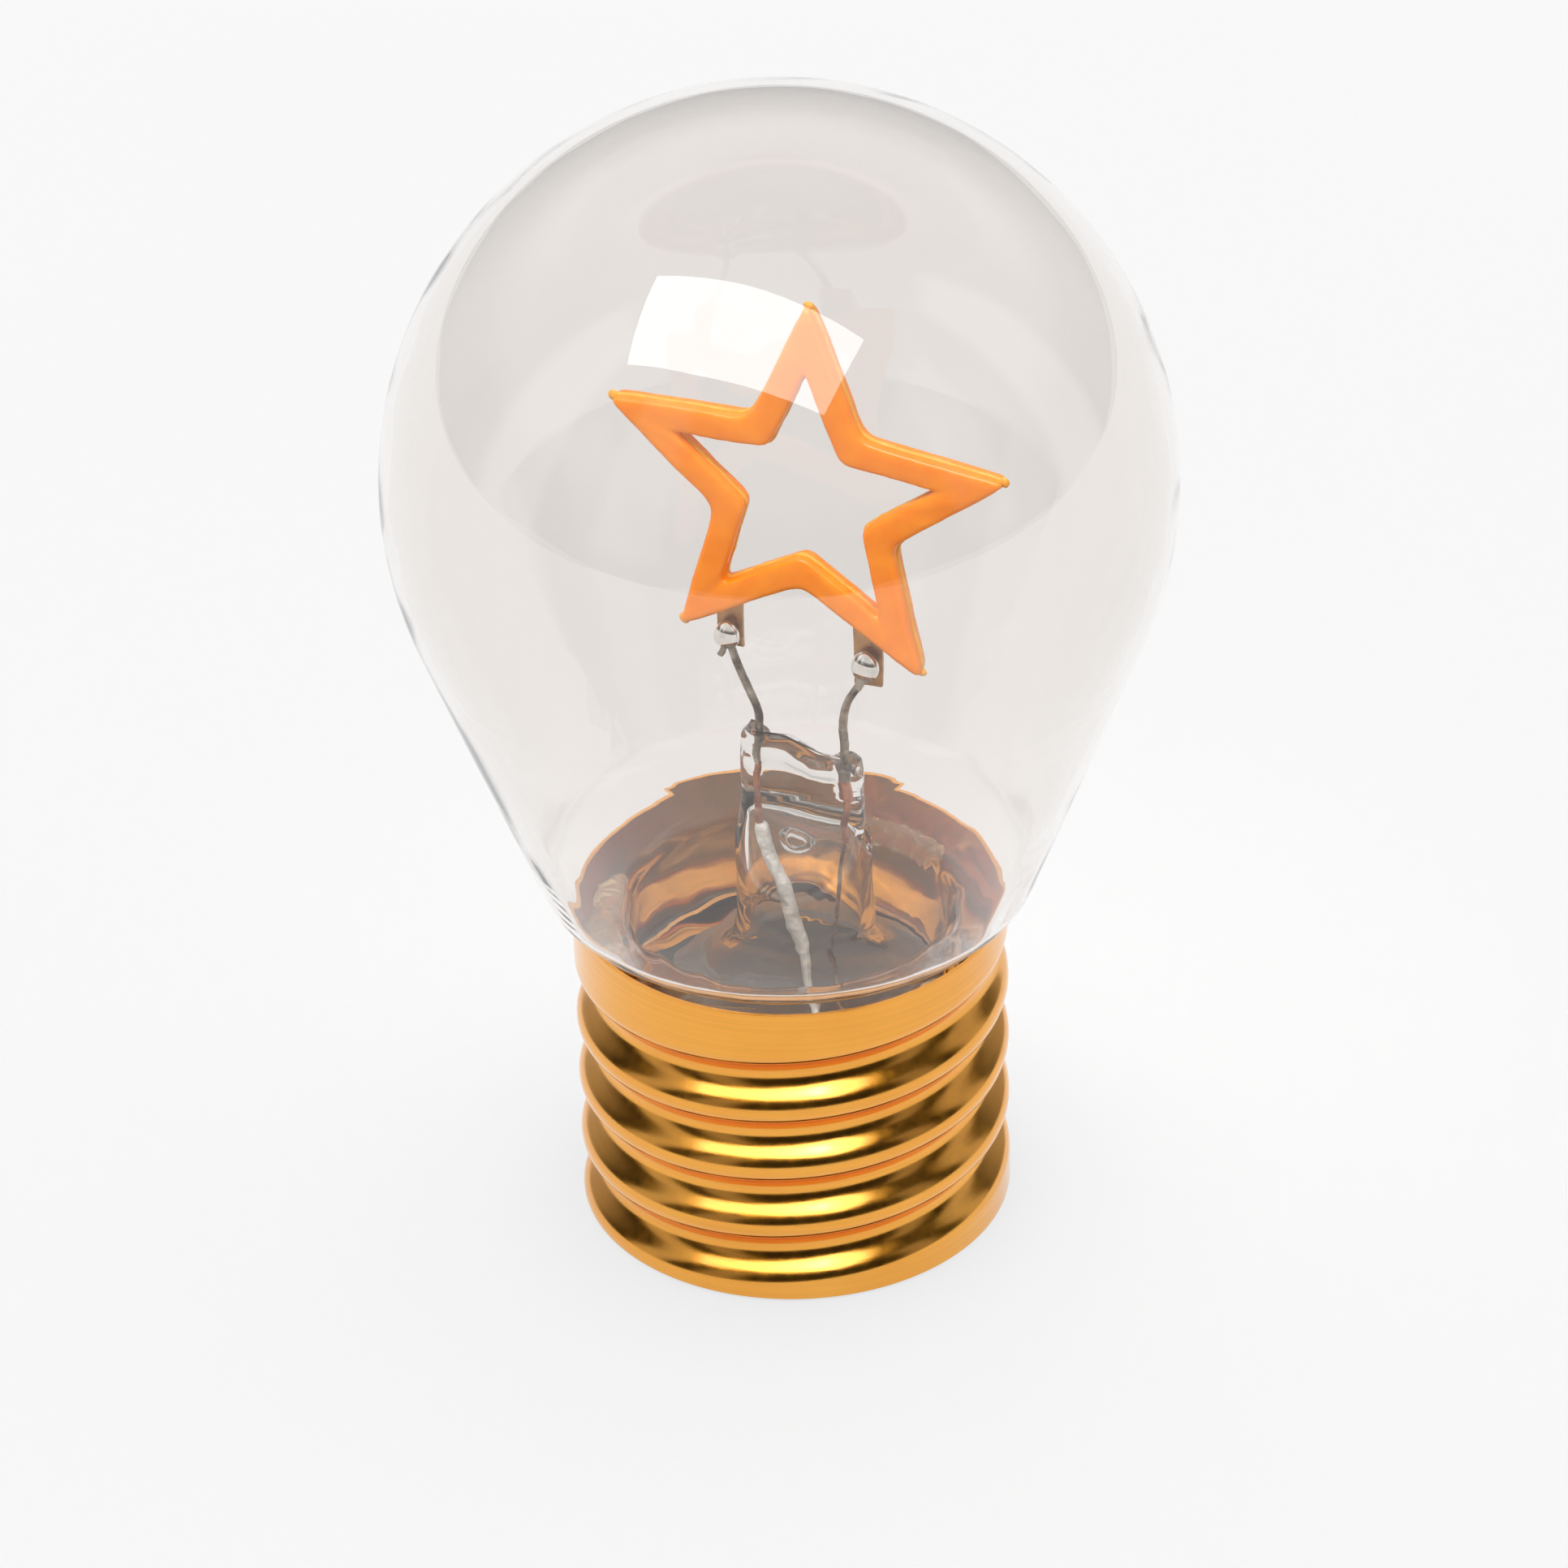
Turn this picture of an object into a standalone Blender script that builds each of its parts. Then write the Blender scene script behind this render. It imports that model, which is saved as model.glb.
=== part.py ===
"""Battery-powered decorative lamp in the shape of a light bulb, with a star of LED filament.

Metres, +Z up. The origin is at the centre of the base's underside, where the lamp rests.
The side that is turned to -Y is the front.
"""

from math import atan2, cos, degrees, floor, pi, radians, sin, tan

import bmesh
import bpy
from mathutils import Matrix, Vector

MM = 0.001
MERGE = 0.00001
GAP = 0.3 * MM  # left between pieces that touch
OVERCUT = 1.0 * MM  # how far a cutter runs past the face it cuts

# Glass envelope: a sphere, a tangent cone, a turned-in shoulder and a neck
BULB_RADIUS = 30.0 * MM
BULB_CENTRE_Z = 64.2 * MM
CONE_ANGLE = radians(20.3)
CONE_END_Z = 29.6 * MM
SHOULDER_RADIUS = 3.2 * MM
SHOULDER_ANGLE = radians(65.0)
NECK_RADIUS = 13.2 * MM
NECK_FILLET = 1.5 * MM
NECK_BOTTOM = 19.0 * MM
GLASS_WALL = 0.8 * MM
BULB_SIDES = 36

# Base shell: a rolled thread below a plain collar
RIM_Z = 26.9 * MM
SHELL_BOTTOM = 0.2 * MM
CREST_RADIUS = 16.9 * MM
SHELL_WALL = 0.35 * MM
THREAD_DEPTH = 1.7 * MM
THREAD_PITCH = 5.46 * MM
THREAD_SLOPE = radians(50.0)  # of the straight flank between a crest and a valley
FIRST_VALLEY_Z = 20.5 * MM  # at the front
THREAD_TOP = (20.8 * MM, 23.0 * MM)  # the thread is full below the first, gone above the second
THREAD_BOTTOM = (0.8 * MM, 2.4 * MM)  # gone below the first, full above the second
SHELL_SIDES = 40
SHELL_ROWS = 48

# Stem and star, in a frame of their own that is turned a little about Z
STEM_OFFSET = 1.2 * MM
STEM_TURN = radians(-23.0)
STEM_RADIUS = 5.3 * MM
STEM_WALL = 0.9 * MM
FLARE_RADIUS = 10.8 * MM
FLARE_BOTTOM = 19.3 * MM
STEM_SHOULDER_Z = 34.4 * MM
PRESS_WIDTH = 10.1 * MM
PRESS_THICKNESS = 2.6 * MM
PRESS_TOP = 41.4 * MM
LEAD_RADIUS = 0.325 * MM
LEAD_X = 3.6 * MM
SEAL_Z = 38.0 * MM
SEAL_WIRE_BOTTOM = 32.6 * MM

STAR_CENTRE = (0.85 * MM, 62.8 * MM)
STAR_LEAN = radians(2.2)  # clockwise, seen from the front
STAR_TIP = 14.3 * MM
STAR_NOTCH = 6.25 * MM
BAND_HALF_WIDTH = 1.2 * MM
SUBSTRATE_HALF_WIDTH = 0.85 * MM
SUBSTRATE_THICKNESS = 0.3 * MM
COATING_THICKNESS = 0.55 * MM
COATING_TIP_TRIM = 1.15 * MM
SUBSTRATE_TIP_TRIM = 1.6 * MM
TAB_X = 5.65 * MM
TAB_WIDTH = 2.3 * MM
TAB_BOTTOM = (48.3 * MM, 47.2 * MM)  # of the left and the right tab
TAB_TOP = 53.7 * MM
SOLDER_RADIUS = 1.1 * MM
SOLDER_Z = (49.6 * MM, 49.2 * MM)  # of the left and the right blob

# Plastic inside the base
TRAY_RADIUS = 14.5 * MM
TRAY_WALL = 1.2 * MM
TRAY_TOP = 13.6 * MM
FOOT_RADIUS = 15.6 * MM
FOOT_HEIGHT = 0.5 * MM
FLOOR_TOP = 1.6 * MM
DECK_BOTTOM = TRAY_TOP + GAP
DECK_TOP = 15.2 * MM
BOSS_BASE = 1.0 * MM

# Battery bay, along X
BAY_X = (-10.7 * MM, 9.5 * MM)
BAY_Y = 2.0 * MM
BAY_HALF_WIDTH = 6.1 * MM
BAY_WALL = 0.7 * MM
CELL_RADIUS = 5.8 * MM
CELL_HEIGHT = 5.4 * MM
CAP_RADIUS = 4.9 * MM
CAP_HEIGHT = 0.5 * MM
CELL_COUNT = 3
CELL_Z = FLOOR_TOP + GAP + CELL_RADIUS
CONTACT_THICKNESS = 0.4 * MM

# Battery door and its screw
DOOR_X = (-11.2 * MM, 9.9 * MM)
DOOR_HALF_WIDTH = 6.5 * MM
DOOR_CORNER = 1.5 * MM
DOOR_BOTTOM = 0.2 * MM
TONGUE_RADIUS = 2.5 * MM
SCREW_X = 11.6 * MM
SCREW_HEAD_RADIUS = 1.6 * MM
SCREW_HEAD_BOTTOM = 0.3 * MM
SCREW_HEAD_TOP = 1.0 * MM
SCREW_RADIUS = 0.75 * MM
SCREW_HOLE = 1.1 * MM
SCREW_END = 8.0 * MM
RECESS_DEPTH = 0.3 * MM
RECESS_HALF = (0.95 * MM, 0.2 * MM)

# Switch and board
SWITCH_Y = -9.05 * MM
SWITCH_SIZE = (8.6 * MM, 3.7 * MM)
SWITCH_Z = (1.9 * MM, 5.6 * MM)
SWITCH_TRAVEL = 2.0 * MM
KNOB_HALF = 1.0 * MM
SHOE_HALF = (1.5 * MM, 0.9 * MM)
SLIDE_CLEARANCE = 0.4 * MM
BOARD_X = 6.2 * MM
BOARD_Y = (-11.3 * MM, -5.4 * MM)
BOARD_Z = (5.9 * MM, 7.1 * MM)
LEAD_END_Z = BOARD_Z[1] + GAP
DECK_SCREWS = {"deck_screw_left": (-9.0 * MM, -8.7 * MM), "deck_screw_right": (9.0 * MM, -8.7 * MM)}
INSULATED_HOLE = (1.9 * MM, -8.6 * MM, 1.0 * MM)  # x, y and radius in the deck
BARE_HOLE = (4.6 * MM, -8.4 * MM, 0.7 * MM)
INSULATION_RADIUS = 0.6 * MM
BARE_LEAD_RADIUS = 0.15 * MM
HOOKUP_RADIUS = 0.35 * MM

# name: colour, roughness, metallic, transmission
MATERIALS = {
    "clear_glass": ((0.95, 0.95, 0.94), 0.03, 0.0, 1.0),
    "anodised_shell": ((0.80, 0.33, 0.045), 0.28, 1.0, 0.0),
    "phosphor_silicone": ((0.95, 0.32, 0.02), 0.35, 0.0, 0.0),
    "brass_substrate": ((0.42, 0.20, 0.07), 0.35, 1.0, 0.0),
    "solder": ((0.85, 0.84, 0.80), 0.12, 1.0, 0.0),
    "nickel_wire": ((0.42, 0.37, 0.31), 0.35, 1.0, 0.0),
    "copper_wire": ((0.75, 0.36, 0.22), 0.30, 1.0, 0.0),
    "white_insulation": ((0.78, 0.76, 0.72), 0.45, 0.0, 0.0),
    "clear_glue": ((0.90, 0.78, 0.55), 0.20, 0.0, 0.8),
    "dark_plastic": ((0.030, 0.030, 0.032), 0.45, 0.0, 0.0),
    "steel": ((0.55, 0.55, 0.56), 0.30, 1.0, 0.0),
    "cell_steel": ((0.72, 0.72, 0.70), 0.22, 1.0, 0.0),
    "board_laminate": ((0.05, 0.22, 0.09), 0.45, 0.0, 0.0),
    "resistor_ceramic": ((0.02, 0.02, 0.02), 0.50, 0.0, 0.0),
    "red_insulation": ((0.60, 0.03, 0.02), 0.40, 0.0, 0.0),
    "black_insulation": ((0.02, 0.02, 0.02), 0.40, 0.0, 0.0),
}


def clear_scene():
    for obj in list(bpy.data.objects):
        bpy.data.objects.remove(obj, do_unlink=True)


def new_collection(name):
    collection = bpy.data.collections.new(name)
    bpy.context.scene.collection.children.link(collection)
    return collection


clear_scene()
PARTS = new_collection("star_bulb_lamp")
CUTTERS = new_collection("cutters")


def material(name):
    """The named material, made the first time it is asked for."""
    if name in bpy.data.materials:
        return bpy.data.materials[name]
    colour, roughness, metallic, transmission = MATERIALS[name]
    made = bpy.data.materials.new(name)
    made.use_nodes = True
    shader = made.node_tree.nodes["Principled BSDF"]
    shader.inputs["Base Color"].default_value = (*colour, 1.0)
    shader.inputs["Roughness"].default_value = roughness
    shader.inputs["Metallic"].default_value = metallic
    shader.inputs["Transmission Weight"].default_value = transmission
    return made


def add_object(name, data, location=(0, 0, 0), collection=PARTS):
    obj = bpy.data.objects.new(name, data)
    obj.location = location
    collection.objects.link(obj)
    return obj


def as_cutter(obj):
    """Moves an object to the cutters, which are guides and not pieces."""
    for collection in list(obj.users_collection):
        collection.objects.unlink(obj)
    CUTTERS.objects.link(obj)
    obj.hide_render = True
    obj.display_type = "WIRE"
    return obj


def evaluated_mesh(obj):
    """A new closed mesh of the object with its modifiers applied."""
    bpy.context.view_layer.update()
    depsgraph = bpy.context.evaluated_depsgraph_get()
    mesh = bpy.data.meshes.new_from_object(obj.evaluated_get(depsgraph), depsgraph=depsgraph)
    work = bmesh.new()
    work.from_mesh(mesh)
    bmesh.ops.remove_doubles(work, verts=work.verts, dist=MERGE)
    bmesh.ops.recalc_face_normals(work, faces=work.faces)
    work.to_mesh(mesh)
    work.free()
    return mesh


def as_mesh(obj):
    """Replaces a curve, or an object with modifiers, by a plain mesh object in the same place."""
    name = obj.name
    mesh = evaluated_mesh(obj)
    matrix = obj.matrix_world.copy()
    collection = obj.users_collection[0]
    bpy.data.objects.remove(obj, do_unlink=True)
    made = add_object(name, mesh, collection=collection)
    made.matrix_world = matrix
    return made


def combine(obj, others, operation):
    """Joins other solids to an object, or cuts them out of it."""
    for other in others:
        modifier = obj.modifiers.new(operation.lower(), "BOOLEAN")
        modifier.operation = operation
        modifier.solver = "EXACT"
        modifier.object = as_cutter(other)
    return as_mesh(obj)


def finish(obj, surface, sharp_angle=35.0):
    """Gives a piece its material and smooth shading with sharp edges kept."""
    mesh = obj.data
    mesh.materials.clear()
    mesh.materials.append(material(surface))
    if obj.type == "MESH":
        mesh.shade_smooth()
        mesh.set_sharp_from_angle(angle=radians(sharp_angle))
    return obj


def box(name, low, high):
    """A box between two corners, with its origin at its centre."""
    size = Vector(high) - Vector(low)
    work = bmesh.new()
    bmesh.ops.create_cube(work, size=1.0, matrix=Matrix.Diagonal((*size, 1.0)))
    mesh = bpy.data.meshes.new(name)
    work.to_mesh(mesh)
    work.free()
    return add_object(name, mesh, (Vector(low) + Vector(high)) / 2)


def cylinder(name, radius, low, high, centre=(0, 0), sides=24, axis="Z"):
    """A cylinder from low to high along an axis, centred on the other two coordinates."""
    work = bmesh.new()
    bmesh.ops.create_cone(
        work, cap_ends=True, segments=sides, radius1=radius, radius2=radius, depth=high - low
    )
    mesh = bpy.data.meshes.new(name)
    work.to_mesh(mesh)
    work.free()
    middle = (low + high) / 2
    if axis == "X":
        obj = add_object(name, mesh, (middle, centre[0], centre[1]))
        obj.rotation_euler = (0, pi / 2, 0)
        return obj
    return add_object(name, mesh, (centre[0], centre[1], middle))


def turned(name, profile, steps):
    """A solid turned about Z from a profile of radius and height that runs down its outer side."""
    work = bmesh.new()
    points = [work.verts.new((radius, 0, height)) for radius, height in profile]
    for first, second in zip(points, points[1:]):
        work.edges.new((first, second))
    mesh = bpy.data.meshes.new(name)
    work.to_mesh(mesh)
    work.free()
    obj = add_object(name, mesh)
    screw = obj.modifiers.new("turn", "SCREW")
    screw.axis = "Z"
    screw.steps = steps
    screw.render_steps = steps
    screw.use_merge_vertices = True
    screw.merge_threshold = MERGE
    return as_mesh(obj)


def plate(name, loops, thickness, bevel=0.0):
    """A flat piece in XY, from an outline and the outlines of its holes, centred on Z."""
    curve = bpy.data.curves.new(name, "CURVE")
    curve.dimensions = "2D"
    curve.fill_mode = "BOTH"
    curve.extrude = thickness / 2 - bevel
    curve.bevel_depth = bevel
    curve.offset = -bevel
    curve.bevel_resolution = 1
    for loop in loops:
        spline = curve.splines.new("POLY")
        spline.points.add(len(loop) - 1)
        for point, (x, y) in zip(spline.points, loop):
            point.co = (x, y, 0, 1)
        spline.use_cyclic_u = True
    return as_mesh(add_object(name, curve))


def wire(name, points, radius):
    """A round wire along a list of points."""
    curve = bpy.data.curves.new(name, "CURVE")
    curve.dimensions = "3D"
    curve.bevel_depth = radius
    curve.bevel_resolution = 2
    curve.use_fill_caps = True
    spline = curve.splines.new("POLY")
    spline.points.add(len(points) - 1)
    for point, place in zip(spline.points, points):
        point.co = (*place, 1)
    return as_mesh(add_object(name, curve))


def arc(centre, radius, start, end, steps):
    """Points on a circle, with its angles in degrees."""
    angles = [radians(start + (end - start) * i / steps) for i in range(steps + 1)]
    return [(centre[0] + radius * cos(a), centre[1] + radius * sin(a)) for a in angles]


def smooth_path(points, steps=4):
    """A smooth curve through the points, as Catmull-Rom pieces."""
    places = [Vector(p) for p in points]
    places = [2 * places[0] - places[1], *places, 2 * places[-1] - places[-2]]
    path = []
    for before, start, end, after in zip(places, places[1:], places[2:], places[3:]):
        for step in range(steps):
            t = step / steps
            path.append(
                0.5
                * (
                    2 * start
                    + (end - before) * t
                    + (2 * before - 5 * start + 4 * end - after) * t**2
                    + (3 * start - before - 3 * end + after) * t**3
                )
            )
    return [*path, places[-2]]


def smoothstep(low, high, value):
    t = min(max((value - low) / (high - low), 0.0), 1.0)
    return t * t * (3 - 2 * t)


# ---- glass envelope ----


def bulb_outline(wall):
    """The envelope's profile from its top to the neck, drawn in by the wall thickness."""
    cone = degrees(CONE_ANGLE)
    centre = (0, BULB_CENTRE_Z)
    dome = arc(centre, BULB_RADIUS - wall, 90, 0, 10)
    belly = arc(centre, BULB_RADIUS - wall, 0, -cone, 2)
    cone_top_radius = BULB_RADIUS * cos(CONE_ANGLE)
    cone_top_z = BULB_CENTRE_Z - BULB_RADIUS * sin(CONE_ANGLE)
    cone_end_radius = cone_top_radius - (cone_top_z - CONE_END_Z) * tan(CONE_ANGLE)
    shoulder_centre = (
        cone_end_radius - SHOULDER_RADIUS * cos(CONE_ANGLE),
        CONE_END_Z + SHOULDER_RADIUS * sin(CONE_ANGLE),
    )
    shoulder = arc(shoulder_centre, SHOULDER_RADIUS - wall, -cone, -degrees(SHOULDER_ANGLE), 4)
    under = tan(pi / 2 - SHOULDER_ANGLE)
    fillet_radius = NECK_FILLET + wall
    fillet_x = NECK_RADIUS + NECK_FILLET
    end_x, end_z = shoulder[-1]
    start_x = fillet_x - fillet_radius * cos(SHOULDER_ANGLE)
    start_z = end_z - (end_x - start_x) * under
    fillet_z = start_z - fillet_radius * sin(SHOULDER_ANGLE)
    fillet = arc((fillet_x, fillet_z), fillet_radius, 180 - degrees(SHOULDER_ANGLE), 180, 2)
    return [*dome, *belly[1:], *shoulder, *fillet, (NECK_RADIUS - wall, NECK_BOTTOM)]


def make_glass_bulb():
    outer = bulb_outline(0.0)
    inner = bulb_outline(GLASS_WALL)
    outer[0] = (0, outer[0][1])
    inner[0] = (0, inner[0][1])
    finish(turned("glass_bulb", [*outer, *reversed(inner)], BULB_SIDES), "clear_glass", 60)


# ---- base shell ----


def thread_drop(phase):
    """How far the thread lies below its crests: equal arcs joined by straight flanks."""
    half_pitch = THREAD_PITCH / 2
    rise = 1 - cos(THREAD_SLOPE)
    both_arcs = (half_pitch * sin(THREAD_SLOPE) - THREAD_DEPTH * cos(THREAD_SLOPE)) / rise
    radius = both_arcs / 2
    reach = radius * sin(THREAD_SLOPE)
    from_valley = abs(phase - floor(phase + 0.5)) * THREAD_PITCH
    from_crest = half_pitch - from_valley
    if from_valley < reach:
        return THREAD_DEPTH - radius + (radius**2 - from_valley**2) ** 0.5
    if from_crest < reach:
        return radius - (radius**2 - from_crest**2) ** 0.5
    return radius * rise + (from_crest - reach) * tan(THREAD_SLOPE)


def shell_radius(angle, z):
    """The outer radius of the rolled shell. The thread is right-handed, with one start."""
    turn = (degrees(angle) + 90) / 360
    phase = (z - FIRST_VALLEY_Z) / THREAD_PITCH - turn
    nearest = floor(phase + 0.5)
    valley_z = z - (phase - nearest) * THREAD_PITCH
    top = 1 - smoothstep(*THREAD_TOP, valley_z)
    bottom = smoothstep(*THREAD_BOTTOM, valley_z)
    return CREST_RADIUS - thread_drop(phase) * top * bottom


def make_base_shell():
    """A grid that is rolled into a tube, shaped by the thread and given its wall."""
    work = bmesh.new()
    bmesh.ops.create_grid(work, x_segments=SHELL_SIDES, y_segments=SHELL_ROWS, size=1.0)
    for vert in work.verts:
        angle = vert.co.x * pi
        z = SHELL_BOTTOM + (RIM_Z - SHELL_BOTTOM) * (vert.co.y + 1) / 2
        radius = shell_radius(angle, z)
        vert.co = (radius * cos(angle), radius * sin(angle), z)
    bmesh.ops.remove_doubles(work, verts=work.verts, dist=MERGE)
    bmesh.ops.recalc_face_normals(work, faces=work.faces)
    mesh = bpy.data.meshes.new("base_shell")
    work.to_mesh(mesh)
    work.free()
    obj = add_object("base_shell", mesh)
    solid = obj.modifiers.new("wall", "SOLIDIFY")
    solid.thickness = SHELL_WALL
    solid.offset = -1
    shell = as_mesh(obj)
    trim_edges(shell)
    finish(shell, "anodised_shell", 50)


def trim_edges(shell):
    """Trims both edges flat, so that the wall of the lowest groove can't reach below them."""
    for vert in shell.data.vertices:
        vert.co.z = min(max(vert.co.z, SHELL_BOTTOM), RIM_Z)


# ---- stem, leads and star ----


def make_stem_frame():
    """An empty that places and turns the stem and everything it carries."""
    frame = bpy.data.objects.new("stem_frame", None)
    frame.location = (STEM_OFFSET, 0, 0)
    frame.rotation_euler = (0, 0, STEM_TURN)
    PARTS.objects.link(frame)
    return frame


def stem_point(x, y, z):
    """A place on the stem, given in the stem's own frame, in the frame of the lamp."""
    turned_place = Matrix.Rotation(STEM_TURN, 3, "Z") @ Vector((x, y, z))
    return turned_place + Vector((STEM_OFFSET, 0, 0))


def make_glass_stem(frame):
    """Flare, tube and press. The tube is open below, and the wires have holes through the press."""
    inner = STEM_RADIUS - STEM_WALL
    crown = arc((0, STEM_SHOULDER_Z - STEM_RADIUS / 2), STEM_RADIUS, 30, 0, 3)
    crown[0] = (STEM_RADIUS * cos(radians(30)), STEM_SHOULDER_Z)
    flare = arc((FLARE_RADIUS, FLARE_BOTTOM + 6 * MM), FLARE_RADIUS - STEM_RADIUS, 180, 250, 5)
    lift = FLARE_BOTTOM + STEM_WALL - flare[-1][1]
    flare = [(x, z + lift) for x, z in flare]
    flare_in = [(x - STEM_WALL * 0.94, z - STEM_WALL * 0.34) for x, z in flare]
    rim = [(FLARE_RADIUS, flare[-1][1] - GAP), (FLARE_RADIUS, FLARE_BOTTOM)]
    profile = [(0, STEM_SHOULDER_Z), *crown, *flare, *rim, *reversed(flare_in)]
    profile += [(inner, STEM_SHOULDER_Z - 2 * MM), (inner * 0.75, STEM_SHOULDER_Z - STEM_WALL)]
    profile += [(0, STEM_SHOULDER_Z - STEM_WALL)]
    tube = turned("glass_stem", profile, 28)
    low = (-PRESS_WIDTH / 2, -PRESS_THICKNESS / 2, STEM_SHOULDER_Z - STEM_WALL / 2)
    high = (PRESS_WIDTH / 2, PRESS_THICKNESS / 2, PRESS_TOP)
    press = box("press", low, high)
    holes = [
        cylinder(
            "lead_hole",
            LEAD_RADIUS + GAP,
            STEM_SHOULDER_Z - STEM_WALL - OVERCUT,
            PRESS_TOP + OVERCUT,
            (side * LEAD_X, 0),
            12,
        )
        for side in (-1, 1)
    ]
    stem = combine(combine(tube, [press], "UNION"), holes, "DIFFERENCE")
    finish(stem, "clear_glass", 40).parent = frame


def make_leads(frame):
    """The stiff wires above the seal and the copper ones below it."""
    front = -SUBSTRATE_THICKNESS
    sides = (("left", -1, 0.1 * MM), ("right", 1, -0.5 * MM))
    for (name, side, bow), solder_z in zip(sides, SOLDER_Z):
        top = solder_z - SOLDER_RADIUS - GAP
        path = smooth_path(
            [
                (side * (TAB_X - 0.3 * MM), front - LEAD_RADIUS - GAP, top),
                (side * (TAB_X - 1.1 * MM) + bow, front, top - 2.6 * MM),
                (side * LEAD_X, 0, PRESS_TOP + 0.6 * MM),
                (side * LEAD_X, 0, SEAL_Z + GAP),
            ],
            3,
        )
        finish(wire(f"inner_lead_{name}", path, LEAD_RADIUS), "nickel_wire").parent = frame
        seal = [(side * LEAD_X, 0, z) for z in (SEAL_Z, SEAL_WIRE_BOTTOM)]
        finish(wire(f"seal_wire_{name}", seal, LEAD_RADIUS), "copper_wire").parent = frame


def make_lower_leads():
    """The sleeved and the bare wire from the seal wires, over the deck and down to the board."""
    deck = DECK_TOP + GAP + INSULATION_RADIUS + 0.2 * MM
    x, y, _ = INSULATED_HOLE
    path = smooth_path(
        [
            stem_point(-LEAD_X + 0.1 * MM, 0, SEAL_WIRE_BOTTOM - GAP),
            stem_point(-1.7 * MM, -0.6 * MM, 28.0 * MM),
            stem_point(0.1 * MM, -0.9 * MM, 22.0 * MM),
            (1.8 * MM, -2.4 * MM, 17.4 * MM),
            (1.9 * MM, -5.6 * MM, deck),
            (x, y, DECK_TOP - 0.5 * MM),
            (x, y, LEAD_END_Z),
        ]
    )
    finish(wire("insulated_lead", path, INSULATION_RADIUS), "white_insulation")
    x, y, _ = BARE_HOLE
    path = smooth_path(
        [
            stem_point(LEAD_X - 0.1 * MM, 0, SEAL_WIRE_BOTTOM - GAP),
            stem_point(2.9 * MM, -0.4 * MM, 27.0 * MM),
            stem_point(2.3 * MM, -0.8 * MM, 21.5 * MM),
            (3.9 * MM, -3.6 * MM, 17.2 * MM),
            (4.5 * MM, -6.6 * MM, DECK_TOP + 0.8 * MM),
            (x, y, DECK_TOP - 0.8 * MM),
            (x, y, LEAD_END_Z),
        ],
        3,
    )
    finish(wire("bare_lead", path, BARE_LEAD_RADIUS), "nickel_wire")


def star_outline(half_width, tip_trim):
    """Ten corners of a star that is grown outward by half_width, with its tips cut and rounded."""
    notch = Vector((STAR_NOTCH * sin(pi / 5), STAR_NOTCH * cos(pi / 5)))
    edge = notch - Vector((0, STAR_TIP))
    distance = STAR_TIP * notch.x / edge.length
    scale = (distance + half_width) / distance
    tip_half_angle = atan2(notch.x, STAR_TIP - notch.y)
    points = []
    for corner in range(5):
        turn = 2 * pi * corner / 5
        tip = STAR_TIP * scale - tip_trim
        spread = tip_trim * tan(tip_half_angle)
        for across, drop in ((-1.0, 0.0), (-0.4, -0.35), (0.4, -0.35), (1.0, 0.0)):
            reach = tip - drop * spread
            side = across * spread
            if tip_trim == 0.0 and across > -1.0:
                continue
            points.append((side * cos(turn) + reach * sin(turn), reach * cos(turn) - side * sin(turn)))
        middle = turn + pi / 5
        points.append((STAR_NOTCH * scale * sin(middle), STAR_NOTCH * scale * cos(middle)))
    return points


def upright(obj, y):
    """Stands a flat star up at its place on the stem, leaning a little."""
    obj.location = (STAR_CENTRE[0], y, STAR_CENTRE[1])
    obj.rotation_euler = (pi / 2, STAR_LEAN, 0)
    return obj


def make_star(frame):
    """A metal star with two tabs, coated with silicone on both faces."""
    loops = [
        star_outline(SUBSTRATE_HALF_WIDTH, SUBSTRATE_TIP_TRIM),
        star_outline(-SUBSTRATE_HALF_WIDTH, 0.0),
    ]
    substrate = upright(plate("star_substrate", loops, SUBSTRATE_THICKNESS), 0)
    tabs = [
        box(
            "tab",
            (x - TAB_WIDTH / 2, -SUBSTRATE_THICKNESS / 2, bottom),
            (x + TAB_WIDTH / 2, SUBSTRATE_THICKNESS / 2, TAB_TOP),
        )
        for x, bottom in zip((-TAB_X, TAB_X), TAB_BOTTOM)
    ]
    substrate = combine(substrate, tabs, "UNION")
    finish(substrate, "brass_substrate").parent = frame
    offset = SUBSTRATE_THICKNESS / 2 + GAP + COATING_THICKNESS / 2
    loops = [star_outline(BAND_HALF_WIDTH, COATING_TIP_TRIM), star_outline(-BAND_HALF_WIDTH, 0.0)]
    for name, y in (("star_coating_front", -offset), ("star_coating_back", offset)):
        coating = plate(name, loops, COATING_THICKNESS, 0.2 * MM)
        finish(upright(coating, y), "phosphor_silicone", 60).parent = frame


def make_solder(frame):
    sides = (("solder_left", -TAB_X), ("solder_right", TAB_X))
    for (name, x), z in zip(sides, SOLDER_Z):
        work = bmesh.new()
        flattening = Matrix.Diagonal((1.0, 0.6, 1.0, 1.0))
        bmesh.ops.create_uvsphere(
            work, u_segments=12, v_segments=8, radius=SOLDER_RADIUS, matrix=flattening
        )
        mesh = bpy.data.meshes.new(name)
        work.to_mesh(mesh)
        work.free()
        y = -SUBSTRATE_THICKNESS / 2 - GAP - 0.6 * SOLDER_RADIUS
        finish(add_object(name, mesh, (x, y, z)), "solder", 60).parent = frame


def make_glue():
    """Three dabs of glue between the neck and the shell."""
    middle = (NECK_RADIUS + CREST_RADIUS - SHELL_WALL) / 2
    thickness = 0.95 * MM
    for number, start in enumerate((-84, 36, 156), start=1):
        points = [(x, y, 24.0 * MM) for x, y in arc((0, 0), middle, start, start + 44, 8)]
        finish(wire(f"glue_dab_{number}", points, thickness), "clear_glue")


# ---- plastic base ----


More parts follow.
